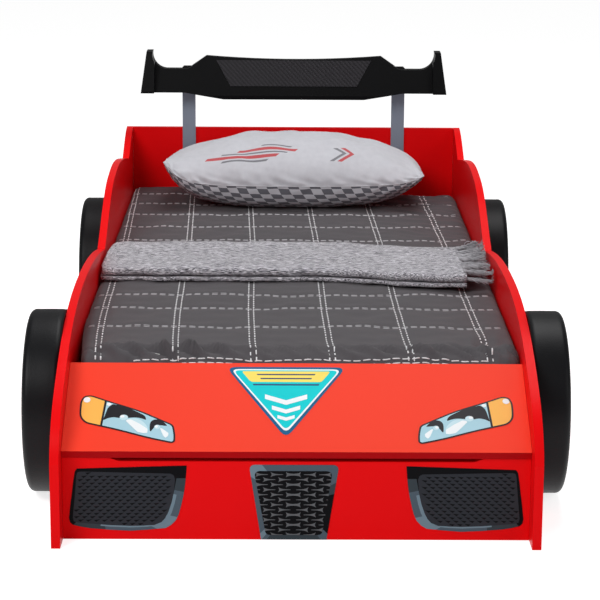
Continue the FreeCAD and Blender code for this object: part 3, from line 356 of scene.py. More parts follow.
TAPE_WEB = woven("tape_web", (0.55, 0.54, 0.5), 600.0)
KNIT = knitted("heather_knit", (0.79, 0.77, 0.82), (0.305, 0.295, 0.325), (0.04, 0.036, 0.045))
STITCH_WHITE = woven("stitch_white", (0.82, 0.82, 0.84), 2500.0, 0.7)
STITCH_GREY = woven("stitch_grey", (0.46, 0.45, 0.47), 2500.0, 0.7)
YARN = woven("fringe_yarn", (0.37, 0.36, 0.385), 1400.0, 0.9, 0.0004, 0.15, 0.5)
SEAM_CLOTH = woven("pillow_seam_cloth", (0.52, 0.52, 0.55), 900.0)
INKS = {name: printed(name, *values) for name, *values in (
    ("lamp_black", (0.006, 0.005, 0.009)), ("lamp_blue", (0.38, 0.62, 0.72)),
    ("lamp_amber", (0.93, 0.48, 0.085)), ("lamp_white", (0.86, 0.9, 0.92)),
    ("lamp_mist", (0.55, 0.75, 0.82)), ("badge_blue", (0.003, 0.11, 0.25), 0.36, 0.08),
    ("badge_navy", (0.03, 0.05, 0.16), 0.36, 0.08), ("badge_teal", (0.004, 0.62, 0.66), 0.36, 0.05),
    ("badge_yellow", (0.95, 0.74, 0.14), 0.36, 0.08),
    ("grille_black", (0.0022, 0.0022, 0.0032), 0.45, 0.06), ("grille_grey", (0.017, 0.019, 0.026)),
    ("grille_steel", (0.07, 0.1, 0.13)), ("grille_slate", (0.03, 0.042, 0.052)),
    ("grille_light", (0.16, 0.235, 0.29)), ("mesh_grey", (0.115, 0.12, 0.13)))}


def dress_nodes():
    """Gives every node that stays its finish."""
    for material, nodes in (
            (RED_PAINT, "side_panel_left side_panel_right headboard footboard front_bumper"),
            (HOOD_PAINT_LIT_AND_SHADED, "hood_panel"), (WING_BLACK, "spoiler_wing"), (CARBON, "spoiler_insert"),
            (BARE_WOOD, "hood_cleat_left hood_cleat_right side_rail_left side_rail_right slats "
                        "dowels"),
            (BAR_GREY, "spoiler_bracket_left spoiler_bracket_right bracket_screws"),
            (SCREW_STEEL, "wing_bolts wheel_screws rail_screws cleat_screws cam_pins"),
            (CAM_ZINC, "cam_locks"), (TAPE_WEB, "slat_tapes")):
        for node in nodes.split():
            for material_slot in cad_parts[node].material_slots:
                material_slot.material = material


dress_nodes()


# ---- mesh making ----
def make_piece(name, points, faces, material, body="bed", smooth=True, mend=None):
    """An object from arrays of points and faces, riding on a body.

    Mend is "turn" to turn the faces outwards, or "merge" to join doubled points before.
    """
    mesh = bpy.data.meshes.new(name)
    mesh.from_pydata(np.reshape(points, (-1, 3)).tolist(), [], faces)
    if mend:
        work = bmesh.new()
        work.from_mesh(mesh)
        if mend == "merge":
            bmesh.ops.remove_doubles(work, verts=work.verts, dist=1e-6)
        bmesh.ops.recalc_face_normals(work, faces=work.faces)
        work.to_mesh(mesh)
        work.free()
    mesh.polygons.foreach_set("use_smooth", np.full(len(mesh.polygons), smooth))
    mesh.materials.append(material)
    piece = bpy.data.objects.new(name, mesh)
    bpy.context.scene.collection.objects.link(piece)
    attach(piece, body)
    return piece


def grid_faces(rows, cols, wrap_rows=False, wrap_cols=False):
    """Four-sided faces of a grid of points kept row by row."""
    i = np.arange(rows if wrap_rows else rows - 1)[:, None]
    j = np.arange(cols if wrap_cols else cols - 1)[None, :]
    after, beside = (i + 1) % rows * cols, (j + 1) % cols
    corners = (i * cols + j, i * cols + beside, after + beside, after + j)
    return np.stack(np.broadcast_arrays(*corners), -1).reshape(-1, 4).tolist()


def capped_faces(rows, cols):
    """Faces of a row of rings that is closed at both ends."""
    last = (rows - 1) * cols
    return grid_faces(rows, cols, False, True) + [
        list(range(cols))[::-1], list(range(last, last + cols))]


def join_parts(parts):
    """Several (points, faces) put together as one."""
    points, faces, count = [], [], 0
    for some_points, some_faces in parts:
        points.append(some_points)
        faces += [[index + count for index in face] for face in some_faces]
        count += len(some_points)
    return np.concatenate(points), faces


def ripple(x, y, seed, sizes, count=4):
    """Smooth unevenness: a sum of sine waves of each size in random directions, about -1 to 1."""
    random = np.random.default_rng(seed)
    total = np.zeros(np.broadcast(x, y).shape)
    for size in sizes:
        for _ in range(count):
            angle, phase = random.uniform(0, 2 * math.pi, 2)
            wave = 2 * math.pi / (size * random.uniform(0.8, 1.25))
            total += np.sin(wave * (x * math.cos(angle) + y * math.sin(angle)) + phase)
    return total / (count * len(sizes)) ** 0.5


def tube(route, radius, sides=6, closed=False):
    """A round tube along points: rings square to the route, in a frame carried along it."""
    route = np.asarray(route, float)
    if closed:
        run = np.roll(route, -1, 0) - np.roll(route, 1, 0)
    else:
        run = np.gradient(route, axis=0)
    run /= np.linalg.norm(run, axis=1)[:, None] + 1e-12
    first = np.cross(run, (0.0, 0.0, 1.0) if abs(run[0, 2]) < 0.9 else (1.0, 0.0, 0.0))
    first /= np.linalg.norm(first, axis=1)[:, None] + 1e-12
    second = np.cross(run, first)
    angle = 2 * math.pi * np.arange(sides)[None, :, None] / sides
    radius = np.broadcast_to(radius, len(route))[:, None, None]
    ring = route[:, None] + radius * (
        np.cos(angle) * first[:, None] + np.sin(angle) * second[:, None])
    faces = (grid_faces(len(route), sides, True, True) if closed
             else capped_faces(len(route), sides))
    return ring.reshape(-1, 3), faces


# ---- wheels ----
def revolve(profile, side, from_front, steps=112):
    """A closed profile of (radius, out from the panel) turned about a wheel's axle."""
    radius, out = np.asarray(profile).T
    angle = 2 * math.pi * np.arange(steps) / steps
    x = np.broadcast_to(side * (HALF_INNER + BOARD + out), (steps, len(out)))
    y = back_from_front(from_front) + np.outer(np.cos(angle), radius)
    z = AXLE_HEIGHT + np.outer(np.sin(angle), radius)
    return np.stack((x, y, z), -1).reshape(-1, 3), grid_faces(steps, len(out), True, True)


def tyre_profile():
    """The moulded wheel: crowned tread, round shoulder, swelling side, step and dished web."""
    full, edge, shoulder = WHEEL_RADIUS, WHEEL_DEPTH, 0.013
    web = edge - RIM_RECESS
    tread = [(full - 0.0012, 0.0006), (full - 0.0002, 0.012), (full, 0.035),
             (full - 0.0002, edge - shoulder - 0.006)]
    round_edge = [(full - shoulder + shoulder * math.cos(a), edge - shoulder
                   + shoulder * math.sin(a)) for a in np.linspace(0, math.pi / 2, 9)]
    side = [(0.156, edge - 0.0004), (0.142, edge - 0.0006), (0.1335, edge - 0.0012),
            (0.1320, edge - 0.0026), (0.1300, edge - 0.0028), (0.1285, edge - 0.0012),
            (RIM_RADIUS + 0.007, edge - 0.0006), (RIM_RADIUS + 0.004, edge - 0.002),
            (RIM_RADIUS + 0.0015, web + 0.003), (RIM_RADIUS - 0.001, web)]
    back = [(0.0, web), (0.0, web - 0.003), (full - 0.004, web - 0.003), (full - 0.004, 0.0006)]
    return tread + round_edge + side + back


def spoke(side, from_front, number, steps=14):
    """A spoke: an arched section carried from the hub to the ring, narrowing in the middle."""
    t = np.linspace(0, 1, steps)
    radius = (0.030 + t * 0.0785)[:, None]
    half = 0.0135 - 0.0035 * np.sin(math.pi * t) + 0.002 * t
    high = 0.0052 + 0.0012 * np.sin(math.pi * t)
    section = np.array([(-1, 0), (-1, 0.55), (-0.72, 0.95), (-0.3, 1), (0.3, 1), (0.72, 0.95),
                        (1, 0.55), (1, 0)])
    angle = math.pi / 2 + number * 2 * math.pi / 5
    wide = np.outer(half, section[:, 0])
    x = side * (HALF_INNER + BOARD + WHEEL_DEPTH - RIM_RECESS + np.outer(high, section[:, 1]))
    y = back_from_front(from_front) + radius * math.cos(angle) - wide * math.sin(angle)
    z = AXLE_HEIGHT + radius * math.sin(angle) + wide * math.cos(angle)
    return np.stack((x, y, z), -1).reshape(-1, 3), capped_faces(steps, len(section))


def wheel_set(side, name):
    """Both moulded wheels of one side, with the spoked inserts in their dishes."""
    tyres = [revolve(tyre_profile(), side, y) for y in WHEELS]
    tyre = make_piece("tyres_" + name, *join_parts(tyres), TYRE_BLACK, mend="merge")
    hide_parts("wheel_tyres_" + name)
    seat = WHEEL_DEPTH - RIM_RECESS
    ring = [(0.1172, seat), (0.1172, seat + 0.0045), (0.1155, seat + 0.0058),
            (0.1085, seat + 0.0058), (0.1062, seat + 0.0045), (0.1056, seat)]
    hub = [(0.0, seat), (0.034, seat), (0.034, seat + 0.0035), (0.0325, seat + 0.005),
           (0.0, seat + 0.005)]
    parts = []
    for from_front in WHEELS:
        parts += [revolve(ring, side, from_front), revolve(hub, side, from_front)]
        parts += [spoke(side, from_front, i) for i in range(5)]
    rim = make_piece("rims_" + name, *join_parts(parts), RIM_SILVER, mend="merge")
    rim.modifiers.new("soft_edges", "BEVEL").width = 0.0004
    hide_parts("wheel_rims_" + name)


def hub_caps():
    """Four low domes, one on each hub: the radius falls as a quarter ellipse."""
    seat = WHEEL_DEPTH - RIM_RECESS + 0.005
    profile = [(0.0, seat), (0.028, seat - 0.0002)]
    profile += [(0.028 * math.cos(a), seat + 0.0085 * math.sin(a))
                for a in np.linspace(0, math.pi / 2, 10)]
    parts = [revolve(profile, side, y, 48) for side in (-1, 1) for y in WHEELS]
    cap = make_piece("caps_on_hubs", *join_parts(parts), RIM_SILVER, mend="merge")
    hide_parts("hub_caps")


wheel_set(-1, "left")
wheel_set(1, "right")
hub_caps()


# ---- prints on the hood and the bumper ----
def on_hood(x, up, lift):
    """Points on the hood's sloping face, by X and the distance up the slope."""
    y = back_from_front(HOOD_SETBACK) + up * math.cos(SLOPE) - lift * math.sin(SLOPE)
    z = HOOD_FRONT_HEIGHT + up * math.sin(SLOPE) + lift * math.cos(SLOPE)
    return np.stack((x, y, z), -1)


def on_bumper(x, z, lift):
    """Points on the bumper's upright face."""
    return np.stack((x, np.full(x.shape, back_from_front(BUMPER_FACE) - lift), z), -1)


def smooth_loop(points, steps=6):
    """A closed curve through points: each stretch is a Catmull-Rom cubic."""
    a, b, c, d = (np.roll(np.asarray(points, float), turn, 0)[:, None] for turn in (1, 0, -1, -2))
    t = np.linspace(0, 1, steps, endpoint=False)[None, :, None]
    curve = 0.5 * (2 * b + (c - a) * t + (2 * a - 5 * b + 4 * c - d) * t ** 2
                   + (3 * b - a - 3 * c + d) * t ** 3)
    return curve.reshape(-1, 2)


def rounded_loop(points, radius, steps=5):
    """A closed outline whose corners are bent: each is a quadratic between two near points."""
    p = np.asarray(points, float)
    before, after = np.roll(p, 1, 0) - p, np.roll(p, -1, 0) - p
    far_before, far_after = (np.linalg.norm(way, axis=1)[:, None] for way in (before, after))
    reach = np.minimum(np.broadcast_to(radius, len(p))[:, None],
                       np.minimum(far_before, far_after) * 0.45)
    start, stop = p + before / far_before * reach, p + after / far_after * reach
    t = np.linspace(0, 1, steps)[None, :, None]
    bend = (1 - t) ** 2 * start[:, None] + 2 * t * (1 - t) * p[:, None] + t ** 2 * stop[:, None]
    return bend.reshape(-1, 2)


def oval(x, up, wide, high):
    """An ellipse of 20 points."""
    turn = np.linspace(0, 2 * math.pi, 20, endpoint=False)
    return np.column_stack((x + wide * np.cos(turn), up + high * np.sin(turn)))


def clip_loop(loop, shape):
    """The part of a loop inside a convex shape, both in the plane; the shape runs clockwise."""
    loop = [np.array(point, float) for point in loop]
    for start, stop in zip(shape, np.roll(shape, -1, 0)):
        edge = stop - start
        inward = np.array((edge[1], -edge[0]))
        kept = []
        for before, point in zip(loop[-1:] + loop[:-1], loop):
            a, b = (before - start) @ inward, (point - start) @ inward
            if a * b < 0:
                kept.append(before + (point - before) * a / (a - b))
            if b >= 0:
                kept.append(point)
        loop = kept
        if len(loop) < 3:
            return []
    return loop


def inside_shape(shape, x, y):
    """Whether points lie within a closed outline, by counting crossings."""
    (ax, ay), (bx, by) = np.transpose(shape), np.transpose(np.roll(shape, -1, 0))
    x, y = x[:, None], y[:, None]
    crosses = ((ay > y) != (by > y)) & (
        x < (bx - ax) * (y - ay) / np.where(by == ay, 1e-9, by - ay) + ax)
    return crosses.sum(-1) % 2 == 1


INK_BASE, INK_STEP, INK_DEPTH = 0.00002, 0.00008, 0.0001


def print_on(node, names, place, layers):
    """Flat patches of ink, layer over layer; the lowest stands for a node of the model.

    A layer is a title, closed outlines and an ink. Each outline is a very thin plate.
    """
    for level, (title, loops, ink) in enumerate(layers):
        lift = PRINT + INK_BASE + INK_STEP * level
        parts = []
        for loop in loops:
            x, up = np.asarray(loop, float).T
            ring = np.arange(len(x))
            beside = np.roll(ring, -1)
            faces = np.stack((ring, beside, beside + len(x), ring + len(x)), -1).tolist()
            faces += [ring[::-1].tolist(), (ring + len(x)).tolist()]
            parts.append((np.concatenate((place(x, up, lift), place(x, up, lift + INK_DEPTH))),
                          faces))
        piece = make_piece(names % title, *join_parts(parts), INKS[ink], smooth=False,
                           mend="turn")
        if level == 0:
            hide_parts(node)


def lamps():
    """Headlight prints, measured in millimetres out from the inner end and up the slope."""
    outline = rounded_loop(
        [(5, 72), (72, 111), (141, 140), (172, 154), (186, 151), (192, 136), (192, 112),
         (190.5, 92), (179, 76), (115, 57), (50, 34), (6, 22), (0, 27), (0, 42), (2, 57)],
        (9, 20, 20, 12, 9, 9, 14, 9, 13, 20, 20, 5, 4, 8, 8))
    edge = np.roll(outline, -1, 0) - np.roll(outline, 1, 0)
    inward = np.column_stack((-edge[:, 1], edge[:, 0])) / np.linalg.norm(edge, axis=1)[:, None]
    inner = outline + 3.6 * inward * np.sign(np.sum((outline.mean(0) - outline) * inward))

    def bar(shift):
        """Two points on the edge of the dark bar between the lens and the amber lamp."""
        return [(147 + shift - (up - 65) / 13, up) for up in (0, 200)]

    amber = clip_loop(inner, bar(2.2) + [(300, 200), (300, 0)])
    lens = clip_loop(inner, [(-100, 0), (-100, 200)] + bar(-2.2)[::-1])
    crescents = [smooth_loop(points, 3) for points in (
        [(129, 126.5), (123, 127.5), (101, 120), (82, 110), (67, 100), (61, 93), (59.5, 85.4),
         (67, 88.5), (79, 91.5), (95, 90.5), (110, 89.5), (123, 92), (135, 89), (143, 84.4),
         (141, 97), (137, 115), (134, 121)],
        [(18, 69), (27, 70), (36, 70), (42, 65), (49, 53.7), (51, 60), (51, 75), (47.6, 82.5),
         (42, 86), (34, 85.5), (25, 79.5), (19.5, 73)])]
    beams = [rounded_loop(points, 2.0) for points in (
        [(97, 86), (89, 86), (71, 74), (55, 60), (55, 49.6), (61, 48.5), (74.4, 51.6), (83, 62),
         (99, 82)],
        [(31, 62), (27.5, 62), (13.4, 48.6), (14, 41.4), (19.3, 36), (24, 42.5)])]
    glints = [oval(179, 140, 6.8, 7.5), oval(134.5, 128, 4.6, 4.2), oval(106.4, 94.4, 4.4, 3.6),
              oval(38, 67, 3.0, 3.2)]
    bulbs = [oval(103.4, 91.5, 8.2, 7.5), oval(36.5, 65.6, 5.8, 6.0)]
    mist = smooth_loop([(94, 88), (79, 89), (66, 81), (57, 68), (56, 60), (66, 68), (80, 80)], 4)
    for side, name in ((-1, "left"), (1, "right")):
        print_on("headlight_" + name, "lamp_%s_" + name,
                 lambda out, up, lift: on_hood(side * (0.237 + out / 1000), up / 1000, lift),
                 (("rim", [outline], "lamp_black"), ("amber", [amber], "lamp_amber"),
                  ("lens", [lens], "lamp_blue"), ("mist", [mist], "lamp_mist"),
                  ("dark", crescents, "lamp_black"), ("bulb", bulbs, "lamp_mist"),
                  ("beam", beams + glints, "lamp_white")))


def badge():
    """The three-cornered badge: a dark edge, a white line, a teal field and a yellow top band."""
    left, right, top, foot = -0.1425, 0.1005, 0.236, 0.036
    middle = (left + right) / 2

    def triangle(gap):
        return rounded_loop([(left + gap * 1.55, top - gap), (right - gap * 1.55, top - gap),
                             (middle, foot + gap * 2.3)], 0.022 - gap * 0.8)

    def band(high, low, gap):
        """A level stripe across the triangle between two heights."""
        upper, lower = ((right - left) / 2 * (up - foot) / (top - foot) - gap
                        for up in (high, low))
        return [(middle - upper, high), (middle + upper, high), (middle + lower, low),
                (middle - lower, low)]

    def chevron(up, high, wide):
        """A V of even height whose arms rise by 0.4 of their width."""
        return [(middle - wide, up + 0.4 * wide), (middle, up), (middle + wide, up + 0.4 * wide),
                (middle + wide, up + 0.4 * wide + high), (middle, up + high),
                (middle - wide, up + 0.4 * wide + high)]

    print_on("badge_panel", "badge_%s", on_hood, (
        ("edge", [triangle(0.0)], "badge_blue"), ("line", [triangle(0.006)], "lamp_white"),
        ("field", [triangle(0.0095)], "badge_teal"),
        ("band", [rounded_loop(band(0.2235, 0.193, 0.0245), 0.006)], "badge_yellow"),
        ("stripes", [band(0.187, 0.183, 0.0245), band(0.216, 0.2125, 0.05),
                     band(0.2045, 0.201, 0.05)], "badge_navy"),
        ("chevrons", [chevron(0.128, 0.013, 0.042), chevron(0.104, 0.011, 0.028),
                      chevron(0.084, 0.009, 0.017)], "lamp_white")))


def centre_grille():
    """The middle grille in millimetres: a bevelled frame round a black field of bow-tie marks.

    The bevel is cut into slices towards the middle, and each takes its tone from its place.
    """
    outer = rounded_loop([(-88, 154), (88, 154), (64.2, 0.8), (-64.2, 0.8)], (13, 13, 1, 1), 8)
    field = rounded_loop([(-78.3, 141.5), (75.5, 141.5), (55, 10.5), (-55, 10.5)],
                         (13, 13, 8, 8), 8)
    tones = {"light": [], "steel": [], "slate": [], "dark": []}
    middle = np.array((0.0, 76.0))
    for a, b in zip(outer, np.roll(outer, -1, 0)):
        cuts = 12 if np.hypot(*(b - a)) >= 8 else 1
        for part in range(cuts):
            p, q = (a + (b - a) * share / cuts for share in (part, part + 1))
            x, up = (p + q) / 2
            if x < -58 and up > 128 or x < -60 and up < 14:
                tone = "light"
            elif x < -50 or up > 148 or (x > 60 and up > 118) or (x > 52 and up < 10):
                tone = "steel"
            elif x > 60 and up > 92 or up < 10:
                tone = "slate"
            else:
                tone = "dark"
            tones[tone].append([p, q, middle + (q - middle) * 0.8, middle + (p - middle) * 0.8])
    upper = [(0, 5.3), (3.2, 3.5), (6.5, 2.3), (10, 1.4), (14, 0.9), (24.5, 0.5)]
    dart = (upper + [(x, -up) for x, up in upper[:0:-1]]
            + [(0, -5.3), (1.9, -2.4), (2.5, 0), (1.9, 2.4)])
    half = [(-14.6, 5.3), (-11, 3.2), (-7, 2.2), (0, 1.7)]
    top = half + [(-x, up) for x, up in half[-2::-1]]
    bow = top + [(12.6, 0)] + [(x, -up) for x, up in top[::-1]] + [(-12.6, 0)]
    marks = []
    for row in range(13):
        height = 134.3 - 10.3 * row
        starts = (-75.7, -46.0) if row % 2 == 0 else (-90.5, -60.9, -31.2)
        loops = [[(start + x, height + up) for x, up in dart] for start in starts]
        loops += [[(-2.4 - x, up) for x, up in loop] for loop in loops]
        if row % 2 == 0:
            loops.append([(x - 1.2, height + up) for x, up in bow])
        marks += [clip_loop(loop, field) for loop in loops]
    print_on("grille_centre", "grille_middle_%s",
             lambda x, up, lift: on_bumper(-0.005 + x / 1000, up / 1000, lift),
             (("back", [outer], "grille_black"), ("light", tones["light"], "grille_light"),
              ("steel", tones["steel"], "grille_steel"),
              ("slate", tones["slate"], "grille_slate"), ("dark", tones["dark"], "grille_black"),
              ("field", [field], "grille_black"),
              ("marks", [loop for loop in marks if loop], "mesh_grey")))


def side_grilles():
    """The outer grilles: a dark face with staggered dart marks and a steel bevel below.

    In millimetres, outwards and up. The bevel is cut into quarters of each stretch between
    its outer and inner edge, and its tone changes along the way.
    """
    foot = [(4, 90), (7.4, 70), (12, 50), (16, 35), (22, 22), (31, 12.5), (42, 6), (76, 2.5),
            (110, 0), (150, 1.8), (190, 5), (208, 8)]
    outer = [(0, 134), (1.6, 112)] + foot + [(224, 12), (229, 17), (231, 26), (228, 52),
                                             (224, 80), (221.5, 100), (218, 121), (214, 127)]
    face = [(23, 106), (25.5, 114), (32, 117.5), (207, 121), (213, 119.5), (215, 113), (219, 70),
            (223.5, 27), (221.5, 19), (213, 16.5), (150, 11.5), (110, 10), (64, 12), (50, 18),
            (38, 35), (30, 58), (25.7, 78)]
    outside = np.array([(2.2, 108)] + foot + [(222, 12)])
    inside = np.array([(20, 108), (23, 92), (26, 76), (30, 58), (36, 40), (43, 26), (50, 18),
                       (62, 13), (86, 10.6), (112, 10), (152, 11.6), (186, 14.4), (205, 16.2),
                       (216, 19)])
    tones = {"slate": [], "steel": [], "light": []}
    for step in np.arange(0, 13, 0.25):
        k, share = int(step), step % 1
        a, b, c, d = (path[k] + (path[k + 1] - path[k]) * along
                      for path in (outside, inside) for along in (share, share + 0.25))
        tone = "slate" if step < 1.5 or step > 10 else "light" if 4.5 <= step < 7.5 else "steel"
        tones[tone].append((a, b, d, c))
        if 2 <= step < 10.5 and tone != "light":
            tones["light"].append((c + 0.32 * (a - c), d + 0.32 * (b - d), d, c))
    marks = []
    for row in range(16):
        up = 14 + 6.9 * row
        for column in range(15):
            x = 12 + 15.6 * column + (7.8 if row % 2 else 0)
            if inside_shape(face, x + np.array((-6.5, 7, 0, 0)),
                            up + np.array((0, 0, 3, -3))).all():
                marks.append([(x - 5.8, up + 2.5), (x + 6.6, up + 1.2), (x + 2, up - 2.8)])
    for side, name in ((-1, "left"), (1, "right")):
        print_on("grille_" + name, "grille_" + name + "_%s",
                 lambda out, up, lift: on_bumper(
                     side * (0.214 + out / 1000), 0.018 + up / 1000, lift),
                 (("back", [outer], "grille_black"), ("slate", tones["slate"], "grille_slate"),
                  ("steel", tones["steel"], "grille_steel"),
                  ("light", tones["light"], "grille_light"), ("face", [face], "grille_grey"),
                  ("marks", marks, "grille_black")))


lamps()
badge()
centre_grille()
side_grilles()

# ---- bedding: where it bends, sags and is drawn in ----
PAIR_GAP = 0.0115
LONG_ROWS = [-0.413 + 0.1605 * k for k in range(6)]
CROSS_ROWS = (0.505, 0.673, 0.803, 0.958, 1.110, 1.262, 1.414, 1.586, 1.752, 1.905, 2.052)
QUILT_HALF_X, QUILT_FRONT, QUILT_REAR, QUILT_DROP = 0.4568, -0.8352, 1.0755, 0.058
QUILT_BEND, FRONT_BEND = 0.022, 0.062
QUILT_FACE, QUILT_OVER_FOAM = 0.3204, 0.011
QUILT_MIDDLE = (QUILT_REAR + QUILT_FRONT) / 2
QUILT_HALF_Y = (QUILT_REAR - QUILT_FRONT) / 2


def front_pull(x, y):
    """How far, from 0 to 1, the bedding's left front corner is drawn in: it grows to the power
    1.5 towards the front and evenly towards the left."""
    return np.clip((-0.50 - y) / 0.33, 0, 1) ** 1.5 * np.clip(-x / 0.3 - 0.45, 0, 1)


def rear_sag(x, y):
    """How far the bedding's rear right corner sinks: one smooth step across, one along."""
    across, along = np.clip((x - 0.08) / 0.30, 0, 1), np.clip((y - 0.93) / 0.12, 0, 1)
    return 0.030 * across ** 2 * (3 - 2 * across) * along ** 2 * (3 - 2 * along)


def round_front(points):
    """Presses the mattress's front edge down to lie under the quilt's bend."""
    x, y, z = (points[..., axis] for axis in range(3))
    near = np.clip((QUILT_FRONT + FRONT_BEND - y) / FRONT_BEND, 0, 0.995)
    upper = np.clip((z - 0.24) / 0.07, 0, 1)
    roof = QUILT_FACE - QUILT_OVER_FOAM - FRONT_BEND * (1 - np.sqrt(1 - near ** 2))
    z[...] = np.minimum(z, roof)
    y += 0.006 * upper * (near > 0.8)
    x += 0.022 * front_pull(x, y)
    z -= rear_sag(x, y) * upper


def mattress():
    """A foam mattress: rings of one rounded outline, drawn in towards the edges of its sides by
    a fourth power, closed over level faces, and piping round both edges."""
    half_x, half_y, middle_y, bend, low, high = 0.440, 0.9495, 0.1223, 0.034, 0.1915, 0.3098
    pull_width = 0.4485
    corner = np.linspace(0, math.pi / 2, 9)
    loop = np.concatenate([
        np.column_stack((cx * (half_x - bend) + bend * np.cos(corner + turn),
                         cy * (half_y - bend) + bend * np.sin(corner + turn)))
        for cx, cy, turn in ((1, 1, 0), (-1, 1, math.pi / 2), (-1, -1, math.pi),
                             (1, -1, 3 * math.pi / 2))])

    def level(shrink, z):
        """The outline shrunk about its middle, at a height."""
        return np.column_stack((loop * shrink, np.full(len(loop), z))) + (0, middle_y, 0)

    t = np.linspace(0, 1, 9)
    sides = zip(1 - (0.0035 * np.abs(2 * t - 1) ** 4 + 0.0006) / pull_width,
                low + 0.004 + (high - low - 0.008) * t)
    rings = np.array([level(shrink, z) for shrink, z in (
        (0.02, low), (0.6, low), (0.95, low), (0.985, low + 0.001), *sides,
        (0.985, high - 0.001), (0.95, high), (0.6, high), (0.2, high), (0.02, high))])
    round_front(rings)
    piece = make_piece("mattress_cover", rings, capped_faces(len(rings), len(loop)),
                       MATTRESS_TICK)
    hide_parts("mattress")
    pipes = []
    for z in (low + 0.005, high - 0.005):
        route = level(0.9935, z)
        round_front(route)
        pipes.append(tube(route, 0.0022, closed=True))
    piping = make_piece("mattress_piping", *join_parts(pipes), MATTRESS_TICK)


# ---- quilt ----
def row_drift(y):
    """How far the rows that run along the bed have crept sideways at Y."""
    return np.interp(y + HALF_LENGTH, (0.26, 0.406, 0.65, 0.912, 1.40, 1.90, 2.11),
                     (0.006, 0.0, -0.006, -0.009, -0.013, -0.026, -0.032))


def row_wave(x, row):
    """How a cross row wavers: two slow sine waves with phases of its own."""
    phase = row * 37.0
    return 0.0050 * np.sin(x * 13 + phase) + 0.0030 * np.sin(x * 29 + 2.3 * phase)


def quilt_lift(x, y):
    """Height of the quilt's face over its seam level: pads between the rows, and puckers.

    A row is a valley, a bell curve of the distance from it. The puckers are ripples, stronger
    in the front corners, at the rear right and in a narrow band above the hem.
    """
    long_ways = [np.abs(x - row - row_drift(y)) for row in LONG_ROWS]
    cross_ways = [np.abs(y - back_from_front(row) - row_wave(x, row)) for row in CROSS_ROWS]
    rows = np.zeros(np.broadcast(x, y).shape)
    for ways, deep in ((long_ways, 1.0), (cross_ways, 0.8)):
        for way in ways:
            past = np.maximum(way - PAIR_GAP / 2, 0) / 0.009
            rows = np.maximum(rows, deep * np.exp(-past ** 2))
    front = np.clip((-0.60 - y) / 0.2, 0, 1)
    corner = np.clip((np.abs(x) - 0.22) / 0.2, 0, 1) * front
    rear = np.clip((x - 0.1) / 0.3, 0, 1) * np.clip((y - 0.2) / 0.3, 0, 1)
    soft = ripple(x, y, 4, (0.16, 0.09)) * 0.0012 + ripple(x + y, y - x, 6, (0.07,)) * 0.0004
    slack = ripple(0.6 * x + y, 0.3 * x, 15, (0.09, 0.05)) * 0.0026 * rear
    gather = ripple(x, y * 0.25, 9, (0.03, 0.045)) * (0.0009 * front + 0.0028 * corner)
    hem = np.clip((-0.755 - y) / 0.05, 0, 1) * (1 + 2 * np.clip(np.abs(x) / 0.25 - 0.8, 0, 1))
    band = np.exp(-((y + 0.781) / 0.021) ** 2)
    gather += ripple(x + 1.2 * (y + 0.8), y * 0.3, 19, (0.026, 0.044)) * 0.0085 * band * (
        0.5 + 0.8 * np.clip(np.abs(x - 0.05) / 0.3, 0, 1))
    gather += 0.0006 * hem * ripple(x, y * 0.12, 19, (0.016, 0.026))
    return -0.0022 * rows + soft + slack + gather


def quilt_point(s, t):
    """Maps the flat sheet to its place: flat on top, bent over the edge and down the sides."""
    bend_y = np.where(t < 0, FRONT_BEND, QUILT_BEND)
    past_x = np.maximum(np.abs(s) - (QUILT_HALF_X - QUILT_BEND), 0) / QUILT_BEND
    past_y = np.maximum(np.abs(t) - (QUILT_HALF_Y - bend_y), 0) / bend_y
    far = np.maximum(past_x, past_y)
    round_off = np.hypot(past_x, past_y) + 1e-12
    share_x, share_y = past_x / round_off, past_y / round_off
    bend = QUILT_BEND * share_x ** 2 + bend_y * share_y ** 2 + 1e-12
    turn = np.minimum(far, math.pi / 2)
    fall = bend * (1 - np.cos(turn)) + bend * np.maximum(far - math.pi / 2, 0)
    x = np.sign(s) * (np.minimum(np.abs(s), QUILT_HALF_X - QUILT_BEND)
                      + QUILT_BEND * np.sin(turn) * share_x)
    y = np.sign(t) * (np.minimum(np.abs(t), QUILT_HALF_Y - bend_y)
                      + bend_y * np.sin(turn) * share_y) + QUILT_MIDDLE
    x = x + 0.020 * front_pull(x, y)
    return x, y, fall, turn, share_x * np.sign(s), share_y * np.sign(t)


def quilt_surface(s, t):
    """Points of the quilt's face, with its pads, puckers and gathered front."""
    x, y, fall, turn, out_x, out_y = quilt_point(s, t)
    face = quilt_lift(x, y)
    hang = np.sin(turn)
    wave = 0.0016 * ripple(x + 0.3 * y, fall * 0.35, 12, (0.035, 0.02)) * (out_y < -0.3) * hang
    face = np.where(np.abs(out_x) > 0.7, face * (1 - 0.75 * hang) - 0.0004 * hang, face) + wave
    x = x + out_x * hang * face
    y = y + out_y * hang * face
    z = QUILT_FACE - fall + np.cos(turn) * face - rear_sag(x, y)
    return np.stack((x, y, z), -1)


def stitches(starts, length, route, radius, height=1.0):
    """Rounded dashes of thread on the quilt's face, one from each start along a route; height
    is the thread's share of its full height."""
    parts = []
    bow = np.array((0.25, 1.0, 1.0, 1.0, 0.25))
    for start in starts:
        s, t = route(start + length * np.array((0.0, 0.12, 0.5, 0.88, 1.0)))
        line = quilt_surface(s, t)
        line[:, 2] += 0.0001
        points, faces = tube(line, radius * bow, len(bow))
        level = np.repeat(line[:, 2], len(bow))
        points[:, 2] = level + (points[:, 2] - level) * height
        parts.append((points, faces))
    return parts


